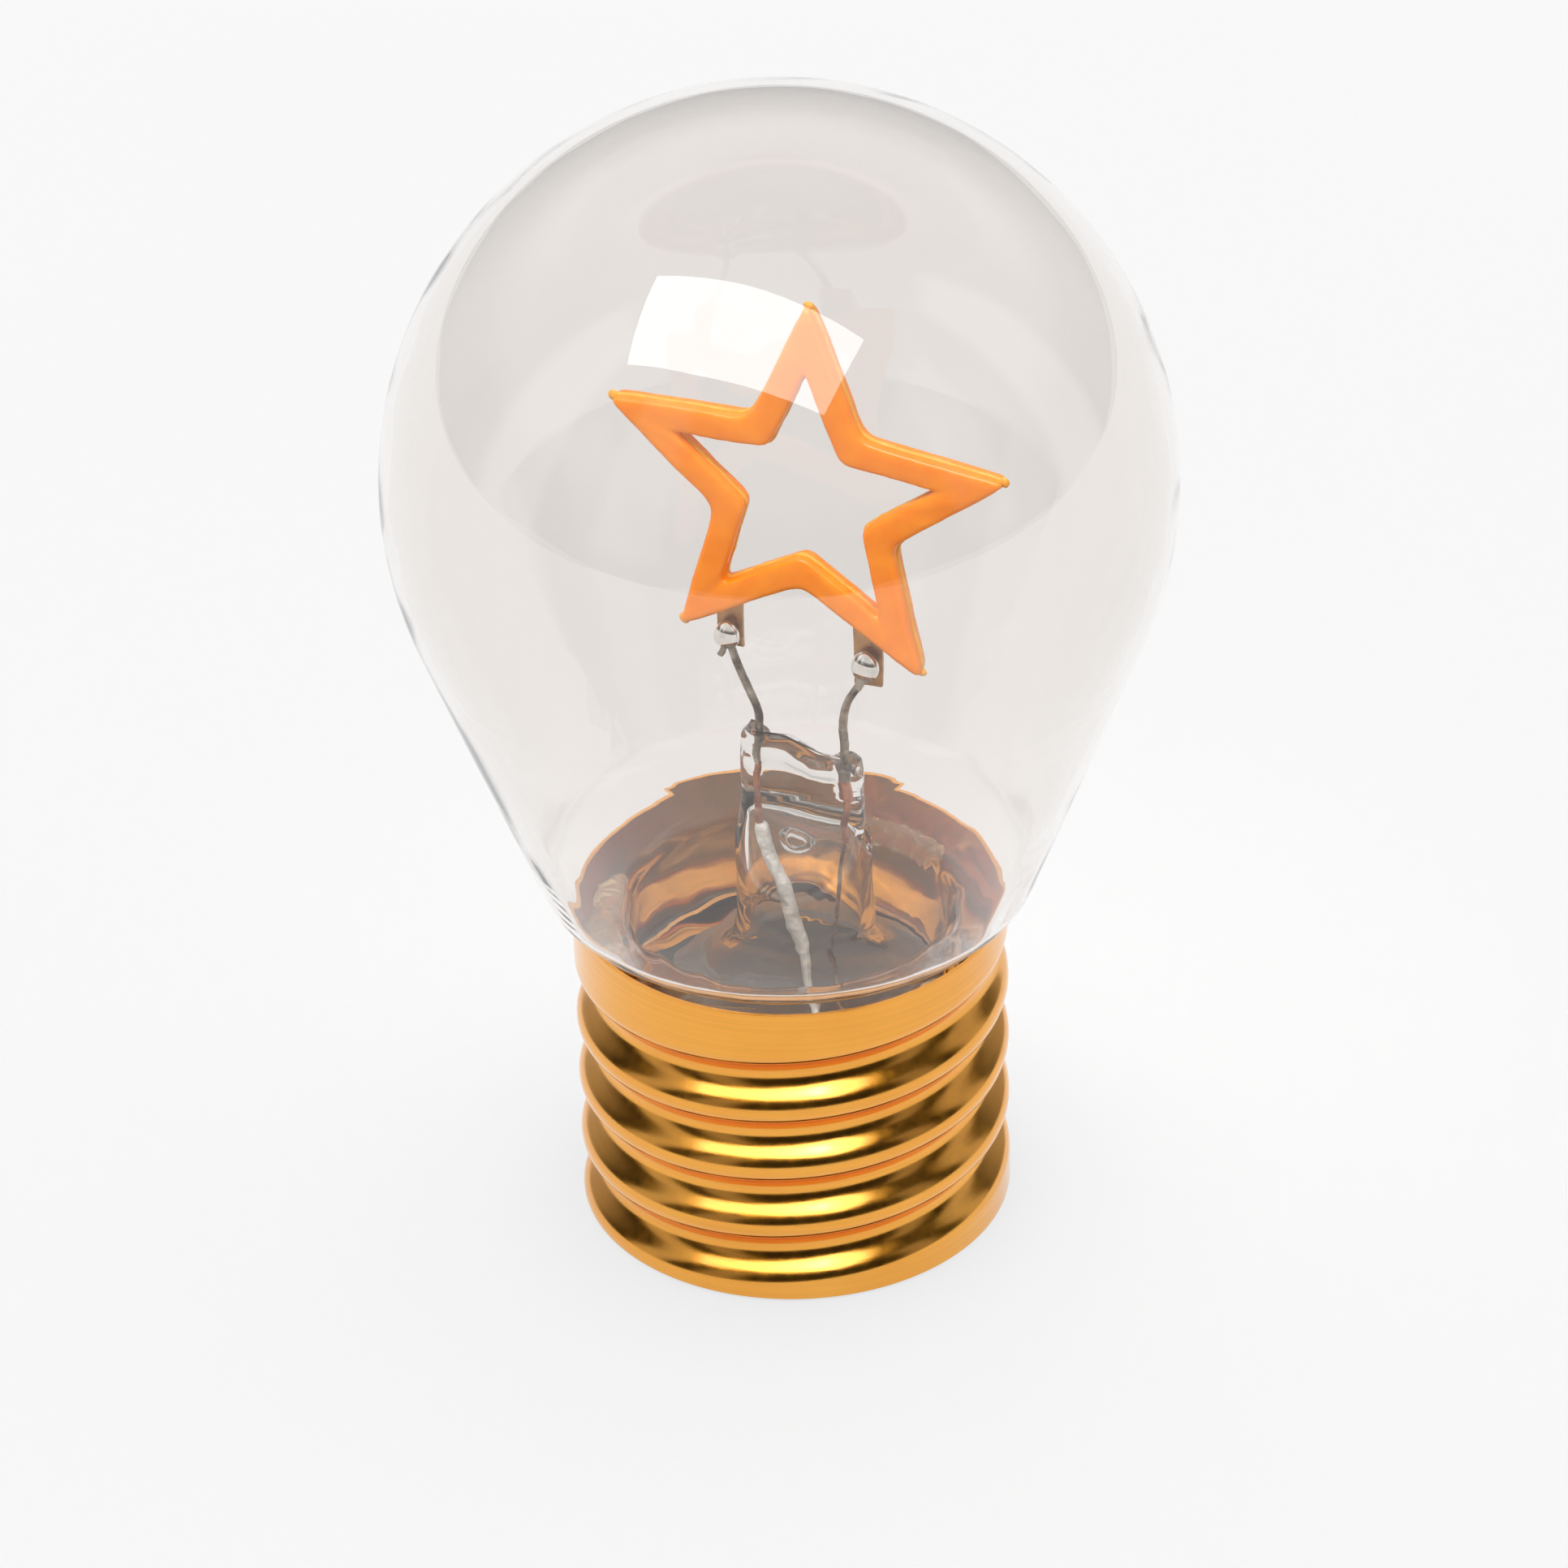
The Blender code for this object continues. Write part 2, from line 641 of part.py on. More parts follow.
def door_outline(grow):
    """Rounded rectangle with a screw tongue at its +X end, grown outward."""
    low_x = DOOR_X[0] + DOOR_CORNER
    high_x = DOOR_X[1] - DOOR_CORNER
    reach = DOOR_HALF_WIDTH - DOOR_CORNER
    corner = DOOR_CORNER + grow
    tongue = arc((SCREW_X, BAY_Y), TONGUE_RADIUS + grow, -90, 90, 8)
    joint = DOOR_X[1] + grow
    outline = arc((low_x, BAY_Y + reach), corner, 90, 180, 4)
    outline += arc((low_x, BAY_Y - reach), corner, 180, 270, 4)
    outline += arc((high_x, BAY_Y - reach), corner, 270, 360, 4)
    outline += [(joint, tongue[0][1]), *tongue, (joint, tongue[-1][1])]
    outline += arc((high_x, BAY_Y + reach), corner, 0, 90, 4)
    return outline


def make_base_tray():
    """Floor, side wall, bay walls and screw bosses in one moulding, cut for the door and switch."""
    inner = TRAY_RADIUS - TRAY_WALL
    profile = [
        (0, FLOOR_TOP),
        (inner, FLOOR_TOP),
        (inner, TRAY_TOP),
        (TRAY_RADIUS, TRAY_TOP),
        (TRAY_RADIUS, FOOT_HEIGHT),
        (FOOT_RADIUS, FOOT_HEIGHT),
        (FOOT_RADIUS, 0),
        (0, 0),
    ]
    tray = turned("base_tray", profile, 40)
    reach = BAY_HALF_WIDTH + BAY_WALL
    block = box(
        "bay_block",
        (BAY_X[0] - BAY_WALL, BAY_Y - reach, BOSS_BASE),
        (BAY_X[1] + BAY_WALL, BAY_Y + reach, TRAY_TOP),
    )
    bosses = [cylinder("door_boss", 2.2 * MM, BOSS_BASE, TRAY_TOP, (SCREW_X, BAY_Y), 16)]
    for x, y in DECK_SCREWS.values():
        bosses.append(cylinder("deck_boss", 1.9 * MM, BOSS_BASE, TRAY_TOP, (x, y), 16))
    tray = combine(tray, [block, *bosses], "UNION")
    opening = plate("door_opening", [door_outline(GAP)], 2 * (FLOOR_TOP + GAP))
    bay = box(
        "bay",
        (BAY_X[0], BAY_Y - BAY_HALF_WIDTH, -OVERCUT),
        (BAY_X[1], BAY_Y + BAY_HALF_WIDTH, TRAY_TOP + OVERCUT),
    )
    slot_x = KNOB_HALF + SWITCH_TRAVEL / 2 + SLIDE_CLEARANCE
    slot_y = KNOB_HALF + GAP
    slot_low = (-slot_x, SWITCH_Y - slot_y, -OVERCUT)
    slot_high = (slot_x, SWITCH_Y + slot_y, FLOOR_TOP + OVERCUT)
    slot = box("slot", slot_low, slot_high)
    holes = [cylinder("door_screw_hole", SCREW_HOLE, 0, SCREW_END + OVERCUT, (SCREW_X, BAY_Y), 16)]
    for x, y in DECK_SCREWS.values():
        holes.append(cylinder("deck_screw_hole", SCREW_HOLE, 6 * MM, TRAY_TOP + OVERCUT, (x, y), 16))
    notches = [
        box(
            "wire_notch",
            (x - 0.8 * MM, BAY_Y - reach - OVERCUT, 12.2 * MM),
            (x + 0.8 * MM, BAY_Y - BAY_HALF_WIDTH + OVERCUT, TRAY_TOP + OVERCUT),
        )
        for x in (BAY_X[0] + 0.9 * MM, BAY_X[1] - 0.9 * MM)
    ]
    finish(combine(tray, [opening, bay, slot, *holes, *notches], "DIFFERENCE"), "dark_plastic", 30)


def make_deck_cover():
    """A flat disc with two holes for the leads and two for its screws."""
    deck = cylinder("deck_cover", TRAY_RADIUS, DECK_BOTTOM, DECK_TOP, sides=40)
    low = DECK_BOTTOM - OVERCUT
    high = DECK_TOP + OVERCUT
    places = [INSULATED_HOLE, BARE_HOLE, *((*place, SCREW_HOLE) for place in DECK_SCREWS.values())]
    holes = [cylinder("deck_hole", radius, low, high, (x, y), 16) for x, y, radius in places]
    finish(combine(deck, holes, "DIFFERENCE"), "dark_plastic", 30)


def screw(name, place, head_low, head_high, shank_end):
    """A pan-head screw with a cross recess, its origin on its axis."""
    x, y = place
    head = cylinder(name, SCREW_HEAD_RADIUS, head_low, head_high, place, 20)
    middle = (head_low + head_high) / 2
    shank = cylinder("shank", SCREW_RADIUS, min(middle, shank_end), max(middle, shank_end), place, 12)
    face = head_low if shank_end > head_high else head_high
    recesses = [
        box("recess", (x - a, y - b, face - RECESS_DEPTH), (x + a, y + b, face + RECESS_DEPTH))
        for a, b in (RECESS_HALF, reversed(RECESS_HALF))
    ]
    finish(combine(combine(head, [shank], "UNION"), recesses, "DIFFERENCE"), "steel", 30)


def make_battery_door():
    """Door with two locating ribs, a screw tongue and a sunk seat for the screw's head."""
    thickness = FLOOR_TOP - DOOR_BOTTOM
    door = plate("battery_door", [door_outline(0.0)], thickness)
    door.location = (0, 0, DOOR_BOTTOM + thickness / 2)
    inset = 0.4 * MM
    ribs = []
    for side in (-1, 1):
        outer = BAY_Y + side * (BAY_HALF_WIDTH - inset)
        inner = outer - side * 0.8 * MM
        low = (BAY_X[0] + inset, min(outer, inner), FLOOR_TOP - 0.5 * MM)
        high = (BAY_X[1] - inset, max(outer, inner), FLOOR_TOP + 1.5 * MM)
        ribs.append(box("rib", low, high))
    door = combine(door, ribs, "UNION")
    place = (SCREW_X, BAY_Y)
    seat = cylinder("seat", SCREW_HEAD_RADIUS + GAP, -OVERCUT, SCREW_HEAD_TOP + GAP, place, 20)
    hole = cylinder("hole", SCREW_HOLE, -OVERCUT, FLOOR_TOP + OVERCUT, place, 16)
    finish(combine(door, [seat, hole], "DIFFERENCE"), "dark_plastic", 30)


def make_cells():
    """Three button cells in a row along X, each with a narrower cap at its +X face."""
    pitch = CELL_HEIGHT + GAP
    start = -(CELL_COUNT * pitch - GAP) / 2
    for number in range(CELL_COUNT):
        low = start + number * pitch
        name = f"cell_{number + 1}"
        body = cylinder(name, CELL_RADIUS, low, low + CELL_HEIGHT - CAP_HEIGHT, (BAY_Y, CELL_Z), 32, "X")
        top = cylinder("cap", CAP_RADIUS, low + CAP_HEIGHT, low + CELL_HEIGHT, (BAY_Y, CELL_Z), 32, "X")
        finish(combine(body, [top], "UNION"), "cell_steel", 30)


def make_contacts():
    """Flat plates at both ends of the bay and a conical spring on the negative one."""
    stack = (CELL_COUNT * (CELL_HEIGHT + GAP) - GAP) / 2
    half = 4.0 * MM
    places = {
        "positive_contact": stack + GAP,
        "negative_contact": BAY_X[0] + GAP,
    }
    for name, x in places.items():
        low = (x, BAY_Y - half, CELL_Z - half)
        high = (x + CONTACT_THICKNESS, BAY_Y + half, CELL_Z + half)
        finish(box(name, low, high), "steel")
    spring_radius = 0.25 * MM
    start = BAY_X[0] + GAP + CONTACT_THICKNESS + GAP + spring_radius
    end = -stack - GAP - spring_radius
    turns = 1.5
    count = 21
    points = []
    for index in range(count):
        t = index / (count - 1)
        radius = (3.4 - 1.4 * t) * MM
        angle = 2 * pi * turns * t
        x = start + (end - start) * t
        points.append((x, BAY_Y + radius * cos(angle), CELL_Z + radius * sin(angle)))
    finish(wire("contact_spring", points, spring_radius), "steel")


def make_hookup_wires():
    """Wires from just above the contacts, through the notches in the bay's wall, to the board."""
    height = 12.95 * MM
    wall_y = BAY_Y - BAY_HALF_WIDTH
    stops = {
        "battery_wire_positive": (BAY_X[1] - 0.9 * MM, 7.3 * MM, 5.4 * MM, "red_insulation"),
        "battery_wire_negative": (BAY_X[0] + 0.9 * MM, -7.3 * MM, -5.4 * MM, "black_insulation"),
    }
    for name, (x, middle_x, end_x, surface) in stops.items():
        path = smooth_path(
            [
                (x, wall_y + 1.6 * MM, height),
                (x, wall_y - 0.4 * MM, height),
                (middle_x, wall_y - 2.0 * MM, height - 2.4 * MM),
                (end_x, wall_y - 2.4 * MM, LEAD_END_Z),
            ],
            3,
        )
        finish(wire(name, path, HOOKUP_RADIUS), surface)


def make_board():
    low = (-BOARD_X, BOARD_Y[0], BOARD_Z[0])
    high = (BOARD_X, BOARD_Y[1], BOARD_Z[1])
    finish(box("circuit_board", low, high), "board_laminate")
    low = (-4.2 * MM, -8.2 * MM, LEAD_END_Z)
    high = (-1.0 * MM, -6.6 * MM, LEAD_END_Z + 0.6 * MM)
    finish(box("chip_resistor", low, high), "resistor_ceramic")


def make_switch():
    """A slide switch under the board. Its slider's knob stands in the slot of the tray's floor."""
    half_x = SWITCH_SIZE[0] / 2
    half_y = SWITCH_SIZE[1] / 2
    body = box(
        "switch_body",
        (-half_x, SWITCH_Y - half_y, SWITCH_Z[0]),
        (half_x, SWITCH_Y + half_y, SWITCH_Z[1]),
    )
    shoe_x, shoe_y = SHOE_HALF
    pocket_x = shoe_x + SWITCH_TRAVEL / 2 + SLIDE_CLEARANCE
    pocket_y = shoe_y + SLIDE_CLEARANCE
    pocket = box(
        "pocket",
        (-pocket_x, SWITCH_Y - pocket_y, SWITCH_Z[0] - OVERCUT),
        (pocket_x, SWITCH_Y + pocket_y, SWITCH_Z[0] + 1.9 * MM),
    )
    finish(combine(body, [pocket], "DIFFERENCE"), "steel")
    rest_x = -SWITCH_TRAVEL / 2
    knob = box(
        "switch_slider",
        (rest_x - KNOB_HALF, SWITCH_Y - KNOB_HALF, DOOR_BOTTOM),
        (rest_x + KNOB_HALF, SWITCH_Y + KNOB_HALF, SWITCH_Z[0] + 0.5 * MM),
    )
    block = box(
        "shoe",
        (rest_x - shoe_x, SWITCH_Y - shoe_y, SWITCH_Z[0] + GAP),
        (rest_x + shoe_x, SWITCH_Y + shoe_y, SWITCH_Z[0] + 1.5 * MM),
    )
    finish(combine(knob, [block], "UNION"), "dark_plastic", 30)


def make_lamp():
    frame = make_stem_frame()
    make_glass_bulb()
    make_glass_stem(frame)
    make_leads(frame)
    make_lower_leads()
    make_star(frame)
    make_solder(frame)
    make_base_shell()
    make_glue()
    make_deck_cover()
    make_base_tray()
    for name, place in DECK_SCREWS.items():
        screw(name, place, DECK_TOP + GAP, DECK_TOP + 1.0 * MM, 7.5 * MM)
    make_battery_door()
    screw("door_screw", (SCREW_X, BAY_Y), SCREW_HEAD_BOTTOM, SCREW_HEAD_TOP, SCREW_END)
    make_cells()
    make_contacts()
    make_hookup_wires()
    make_board()
    make_switch()


make_lamp()
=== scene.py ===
"""Looks of the star bulb lamp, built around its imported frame. Metres, +Z up, front towards -Y."""

from math import cos, degrees, floor, pi, radians, sin, tan

import bmesh
import bpy
from mathutils import Matrix, Vector, noise


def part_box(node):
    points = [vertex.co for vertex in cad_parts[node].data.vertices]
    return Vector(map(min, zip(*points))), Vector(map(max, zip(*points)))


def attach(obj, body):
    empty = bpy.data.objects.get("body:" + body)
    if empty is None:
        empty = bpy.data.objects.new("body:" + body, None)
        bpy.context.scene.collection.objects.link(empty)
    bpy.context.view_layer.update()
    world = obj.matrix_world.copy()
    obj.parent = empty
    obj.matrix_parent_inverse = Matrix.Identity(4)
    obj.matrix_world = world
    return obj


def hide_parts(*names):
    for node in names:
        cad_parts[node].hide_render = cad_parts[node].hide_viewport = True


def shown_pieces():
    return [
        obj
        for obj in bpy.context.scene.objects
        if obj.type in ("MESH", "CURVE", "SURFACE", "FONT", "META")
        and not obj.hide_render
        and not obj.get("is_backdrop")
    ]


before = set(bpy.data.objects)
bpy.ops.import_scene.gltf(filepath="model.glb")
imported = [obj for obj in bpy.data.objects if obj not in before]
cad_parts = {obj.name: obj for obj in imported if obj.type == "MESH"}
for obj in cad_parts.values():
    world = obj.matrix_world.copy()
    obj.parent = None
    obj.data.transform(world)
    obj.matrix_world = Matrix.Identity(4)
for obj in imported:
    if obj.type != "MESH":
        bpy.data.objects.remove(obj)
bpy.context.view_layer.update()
MM = 0.001

# Places from the frame
BULB_LOW, BULB_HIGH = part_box("glass_bulb")
SHELL_LOW, SHELL_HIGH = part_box("base_shell")
DECK_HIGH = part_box("deck_cover")[1]
BULB_RADIUS = (BULB_HIGH.x - BULB_LOW.x) / 2
BULB_CENTRE_Z = BULB_HIGH.z - BULB_RADIUS
RIM_Z = SHELL_HIGH.z
SHELL_BOTTOM = SHELL_LOW.z
CREST_RADIUS = SHELL_HIGH.x
DECK_TOP = DECK_HIGH.z

# Glass envelope, as in the part, but for a cone that turns in 0.9 mm higher up
CONE_ANGLE = radians(20.3)
CONE_LOW_Z = 30.5 * MM
SHOULDER_RADIUS = 3.2 * MM
SHOULDER_ANGLE = radians(65.0)
NECK_RADIUS = 13.2 * MM
NECK_FILLET = 1.5 * MM
NECK_BOTTOM = BULB_LOW.z
GLASS_WALL = 0.8 * MM

# Thread, as in the part
SHELL_WALL = 0.35 * MM
THREAD_DEPTH = 1.7 * MM
THREAD_PITCH = 5.46 * MM
THREAD_SLOPE = radians(50.0)
FIRST_VALLEY_Z = 20.5 * MM
THREAD_TOP = (20.8 * MM, 23.0 * MM)
THREAD_BOTTOM = (0.8 * MM, 2.4 * MM)

# Stem and star, in their own turned frame, as in the part
STEM = Matrix.Translation((1.2 * MM, 0, 0)) @ Matrix.Rotation(radians(-23.0), 4, "Z")
STEM_RADIUS = 5.3 * MM
STEM_WALL = 0.9 * MM
FLARE_RADIUS = 10.8 * MM
FLARE_BOTTOM = 19.3 * MM
STEM_SHOULDER_Z = 34.4 * MM
PRESS_HALF = 5.05 * MM
PRESS_HALF_THICKNESS = 0.85 * MM
PRESS_TOP = 41.4 * MM
PINCH_OUTSIDE = (29.5 * MM, 36.2 * MM)  # where the tube goes from round to flat
PINCH_INSIDE = (29.0 * MM, 35.6 * MM)
RIDGE_HEIGHTS = (PRESS_TOP - 2.9 * MM, PRESS_TOP - 1.5 * MM)
RIDGE_SWELL = 0.4 * MM
CLOSED_BORE = 0.3 * MM
SHEATH_X = 3.85 * MM
SHEATH_RADIUS = (1.0 * MM, 1.2 * MM)  # round the left and the right lead
SHEATH_FADE = 1.4 * MM
SLOPE_START = PRESS_TOP - 6.0 * MM  # above it the press slopes down to the right
LEAD_RADIUS = 0.325 * MM
LEAD_X = 3.6 * MM
SEAL_Z = 38.0 * MM
SEAL_WIRE_BOTTOM = 32.6 * MM
STAR_X = 0.85 * MM
STAR_Z = 62.8 * MM
STAR_LEAN = radians(2.2)  # clockwise, seen from the front
STAR_TIP = 14.3 * MM
STAR_NOTCH = 6.25 * MM
STAR_TIP_TRIM = 0.44 * MM
BAND_HALF_WIDTH = 1.2 * MM
SUBSTRATE_HALF = 0.15 * MM
COATING_FACE = 1.0 * MM
COATING_GAP = 0.04 * MM
TIP_NUB_RADIUS = 0.4 * MM
TAB_X = 5.65 * MM
SOLDER_Z = (49.6 * MM, 49.2 * MM)  # of the left and the right blob
SOLDER_RADIUS = 1.1 * MM

# Wires in the base, and glue
SLEEVE_RADIUS = 0.58 * MM
BARE_LEAD_RADIUS = 0.15 * MM
LEAD_STUB_RADIUS = 0.28 * MM
LOWER_LEAD_BOTTOM = 7.4 * MM
GLUE_Z = 24.0 * MM
GLUE_RADIUS = 0.95 * MM
GLUE_STARTS = (-84, 36, 156)
GLUE_SWEEP = 44
GLUE_HAIR_RADIUS = 0.045 * MM


# ---- materials ----

FLOOR_GLOW = 0.668
INPUTS = {
    "colour": "Base Color",
    "metallic": "Metallic",
    "roughness": "Roughness",
    "transmission": "Transmission Weight",
    "ior": "IOR",
    "coat": "Coat Weight",
    "coat_roughness": "Coat Roughness",
    "subsurface": "Subsurface Weight",
    "subsurface_scale": "Subsurface Scale",
}


class Surface:
    """A Principled material with short ways to add textures to it."""

    def __init__(self, name, **values):
        self.made = bpy.data.materials.new(name)
        self.made.use_nodes = True
        self.tree = self.made.node_tree
        self.shader = self.tree.nodes["Principled BSDF"]
        for key, value in values.items():
            self.shader.inputs[INPUTS[key]].default_value = value
        self.place = self.tree.nodes.new("ShaderNodeTexCoord").outputs["Object"]

    def link(self, source, socket):
        self.tree.links.new(source, socket)

    def stretched(self, scale):
        node = self.tree.nodes.new("ShaderNodeMapping")
        node.inputs["Scale"].default_value = scale
        self.link(self.place, node.inputs["Vector"])
        return node.outputs["Vector"]

    def noise(self, scale, detail=3.0, roughness=0.55, distortion=0.0, place=None):
        node = self.tree.nodes.new("ShaderNodeTexNoise")
        node.inputs["Scale"].default_value = scale
        node.inputs["Detail"].default_value = detail
        node.inputs["Roughness"].default_value = roughness
        node.inputs["Distortion"].default_value = distortion
        self.link(place or self.place, node.inputs["Vector"])
        return node.outputs["Fac"]

    def cells(self, scale):
        node = self.tree.nodes.new("ShaderNodeTexVoronoi")
        node.inputs["Scale"].default_value = scale
        self.link(self.place, node.inputs["Vector"])
        return node.outputs["Distance"]

    def ramp(self, source, stops):
        """A colour ramp, from (place, colour) pairs."""
        node = self.tree.nodes.new("ShaderNodeValToRGB")
        elements = node.color_ramp.elements
        while len(elements) < len(stops):
            elements.new(0.5)
        for element, (place, colour) in zip(elements, stops):
            element.position = place
            element.color = (*colour, 1.0)
        self.link(source, node.inputs["Fac"])
        return node.outputs["Color"]

    def span(self, source, low, high, new_low, new_high):
        """Maps the values from low to high to those from new_low to new_high."""
        node = self.tree.nodes.new("ShaderNodeMapRange")
        for key, value in zip(range(1, 5), (low, high, new_low, new_high)):
            node.inputs[key].default_value = value
        self.link(source, node.inputs[0])
        return node.outputs[0]

    def multiply(self, first, second, factor=None):
        """Two colours multiplied, fully or by the share that factor gives."""
        node = self.tree.nodes.new("ShaderNodeMix")
        node.data_type = "RGBA"
        node.blend_type = "MULTIPLY"
        node.inputs["Factor"].default_value = 1.0
        if factor:
            self.link(factor, node.inputs["Factor"])
        self.link(first, node.inputs["A"])
        self.link(second, node.inputs["B"])
        return node.outputs["Result"]

    def colour(self, source):
        self.link(source, self.shader.inputs["Base Color"])

    def roughness(self, source):
        self.link(source, self.shader.inputs["Roughness"])

    def bump(self, source, distance, strength=1.0):
        """Adds a bump layer on top of the ones already there."""
        node = self.tree.nodes.new("ShaderNodeBump")
        node.inputs["Strength"].default_value = strength
        node.inputs["Distance"].default_value = distance
        self.link(source, node.inputs["Height"])
        normal = self.shader.inputs["Normal"]
        if normal.is_linked:
            self.link(normal.links[0].from_socket, node.inputs["Normal"])
        self.link(node.outputs["Normal"], normal)


def between(low, high):
    """Two-stop ramp with some room at both ends, for noise that stays near its middle."""
    return [(0.3, low), (0.7, high)]


def blown_glass():
    """Thin clear glass with a faint warm tint and hardly visible waves."""
    made = Surface("blown_glass", transmission=1.0, ior=1.5, roughness=0.0)
    made.colour(made.ramp(made.noise(45), between((0.925, 0.902, 0.885), (0.945, 0.922, 0.903))))
    made.roughness(made.span(made.noise(160, 5.0), 0.55, 0.8, 0.0, 0.03))
    made.bump(made.noise(28, 1.0), 0.06 * MM)
    return made.made


def pressed_glass():
    """Thick glass that was worked hot: wavy, with a few cloudy spots."""
    made = Surface("pressed_glass", transmission=1.0, ior=1.52, roughness=0.0)
    made.colour(made.ramp(made.noise(150), between((0.93, 0.94, 0.93), (0.985, 0.985, 0.98))))
    made.roughness(made.span(made.noise(500, 4.0), 0.5, 0.8, 0.0, 0.06))
    made.bump(made.noise(260, 2.0, 0.5, 0.6), 0.05 * MM)
    return made.made


def anodised():
    """Satin copper-gold: fine grain, faint drawn rings and small tonal drift."""
    made = Surface("anodised_outside", metallic=1.0, roughness=0.22, coat=0.6, coat_roughness=0.14)
    made.shader.inputs["Coat IOR"].default_value = 1.7
    rings = made.noise(1.0, 2.0, place=made.stretched((30, 30, 5200)))
    tone = made.ramp(made.noise(110, 3.0), between((0.90, 0.372, 0.028), (0.95, 0.425, 0.044)))
    darker = made.ramp(rings, between((0.93, 0.93, 0.93), (1.0, 1.0, 1.0)))
    made.colour(made.multiply(tone, darker))
    made.roughness(made.span(made.noise(900, 4.0), 0.3, 0.7, 0.17, 0.25))
    made.bump(made.noise(8200, 2.0, 0.7), 0.004 * MM, 0.55)
    made.bump(rings, 0.003 * MM, 0.5)
    return made.made


def bright_copper():
    """The shell's inside: bare drawn metal that mirrors, a little wavy."""
    made = Surface("copper_inside", metallic=1.0, roughness=0.08)
    made.colour(made.ramp(made.noise(140, 4.0), between((0.60, 0.29, 0.125), (0.80, 0.43, 0.20))))
    made.roughness(made.span(made.noise(420, 4.0), 0.3, 0.7, 0.05, 0.16))
    made.bump(made.noise(1.0, 2.0, place=made.stretched((160, 160, 620))), 0.09 * MM)
    return made.made


def phosphor():
    """Silicone with phosphor: orange all through, mottled, with a few dark specks."""
    made = Surface(
        "phosphor_silicone_visual",
        roughness=0.36,
        subsurface=0.25,
        subsurface_scale=0.5 * MM,
        coat=0.35,
        coat_roughness=0.22,
    )
    made.shader.inputs["Subsurface Radius"].default_value = (1.0, 0.35, 0.08)
    body = made.ramp(made.noise(420, 5.0), between((0.88, 0.225, 0.002), (0.95, 0.285, 0.006)))
    specks = made.span(made.cells(1500), 0.05, 0.10, 1.0, 0.0)
    dirt = made.ramp(specks, [(0.0, (1.0, 1.0, 1.0)), (1.0, (0.62, 0.40, 0.25))])
    rare = made.span(made.noise(700, 1.0), 0.58, 0.64, 0.0, 1.0)
    made.colour(made.multiply(body, dirt, rare))
    made.roughness(made.span(made.noise(900, 3.0), 0.3, 0.7, 0.28, 0.45))
    made.bump(made.noise(900, 3.0), 0.045 * MM)
    return made.made


def silicone_flash():
    """The thin pale skin that the mould leaves."""
    made = Surface("silicone_flash", transmission=0.15, roughness=0.3, ior=1.42, subsurface=0.3)
    made.shader.inputs["Subsurface Scale"].default_value = 0.3 * MM
    made.colour(made.ramp(made.noise(900, 3.0), between((0.92, 0.36, 0.02), (0.96, 0.50, 0.09))))
    made.bump(made.noise(1500, 3.0), 0.05 * MM)
    return made.made


def plated_brass():
    """Tarnished plating with fine upright marks."""
    made = Surface("star_metal", metallic=1.0, roughness=0.34)
    made.colour(made.ramp(made.noise(600, 5.0), between((0.33, 0.17, 0.065), (0.52, 0.30, 0.13))))
    made.roughness(made.span(made.noise(1400, 3.0), 0.3, 0.7, 0.24, 0.46))
    made.bump(made.noise(1.0, 2.0, place=made.stretched((5200, 5200, 300))), 0.01 * MM)
    return made.made


def solder_metal():
    """Solder that froze bright, with a little dross."""
    made = Surface("solder_visual", metallic=1.0, roughness=0.1)
    made.colour(made.ramp(made.noise(700, 3.0), between((0.72, 0.70, 0.66), (0.92, 0.91, 0.88))))
    made.roughness(made.span(made.noise(1600, 3.0), 0.35, 0.7, 0.03, 0.10))
    made.bump(made.noise(900, 2.0), 0.012 * MM)
    return made.made


def drawn_wire(name, dark, light, low=0.25, high=0.5):
    """Wire with die lines along it and patches of oxide."""
    made = Surface(name, metallic=1.0, roughness=0.35)
    made.colour(made.ramp(made.noise(380, 5.0, 0.65), [(0.36, dark), (0.62, light)]))
    made.roughness(made.span(made.noise(900, 4.0), 0.3, 0.7, low, high))
    made.bump(made.noise(1.0, 3.0, place=made.stretched((6000, 6000, 500))), 0.012 * MM)
    return made.made


def sleeve():
    """Woven glass-fibre sleeving."""
    made = Surface("woven_sleeve", roughness=0.6, subsurface=0.15, subsurface_scale=0.4 * MM)
    made.colour(made.ramp(made.noise(1100, 4.0), between((0.36, 0.335, 0.30), (0.56, 0.53, 0.485))))
    made.bump(made.cells(3200), 0.06 * MM)
    made.bump(made.noise(700, 3.0), 0.08 * MM)
    return made.made


def hot_glue():
    """Clear hot-melt glue, gone amber."""
    made = Surface("hot_glue", transmission=0.9, roughness=0.12, ior=1.48)
    made.colour(made.ramp(made.noise(500, 4.0), between((0.70, 0.46, 0.22), (0.90, 0.70, 0.44))))
    made.roughness(made.span(made.noise(900, 4.0), 0.3, 0.7, 0.04, 0.22))
    made.bump(made.noise(420, 3.0), 0.04 * MM)
    return made.made


def moulded(name, dark, light, grain=3400, depth=0.012):
    """Moulded plastic with a spark-eroded grain."""
    made = Surface(name, roughness=0.45)
    made.colour(made.ramp(made.noise(240, 4.0), between(dark, light)))
    made.roughness(made.span(made.noise(900, 3.0), 0.3, 0.7, 0.36, 0.56))
    made.bump(made.noise(grain, 3.0, 0.65), depth * MM)
    return made.made


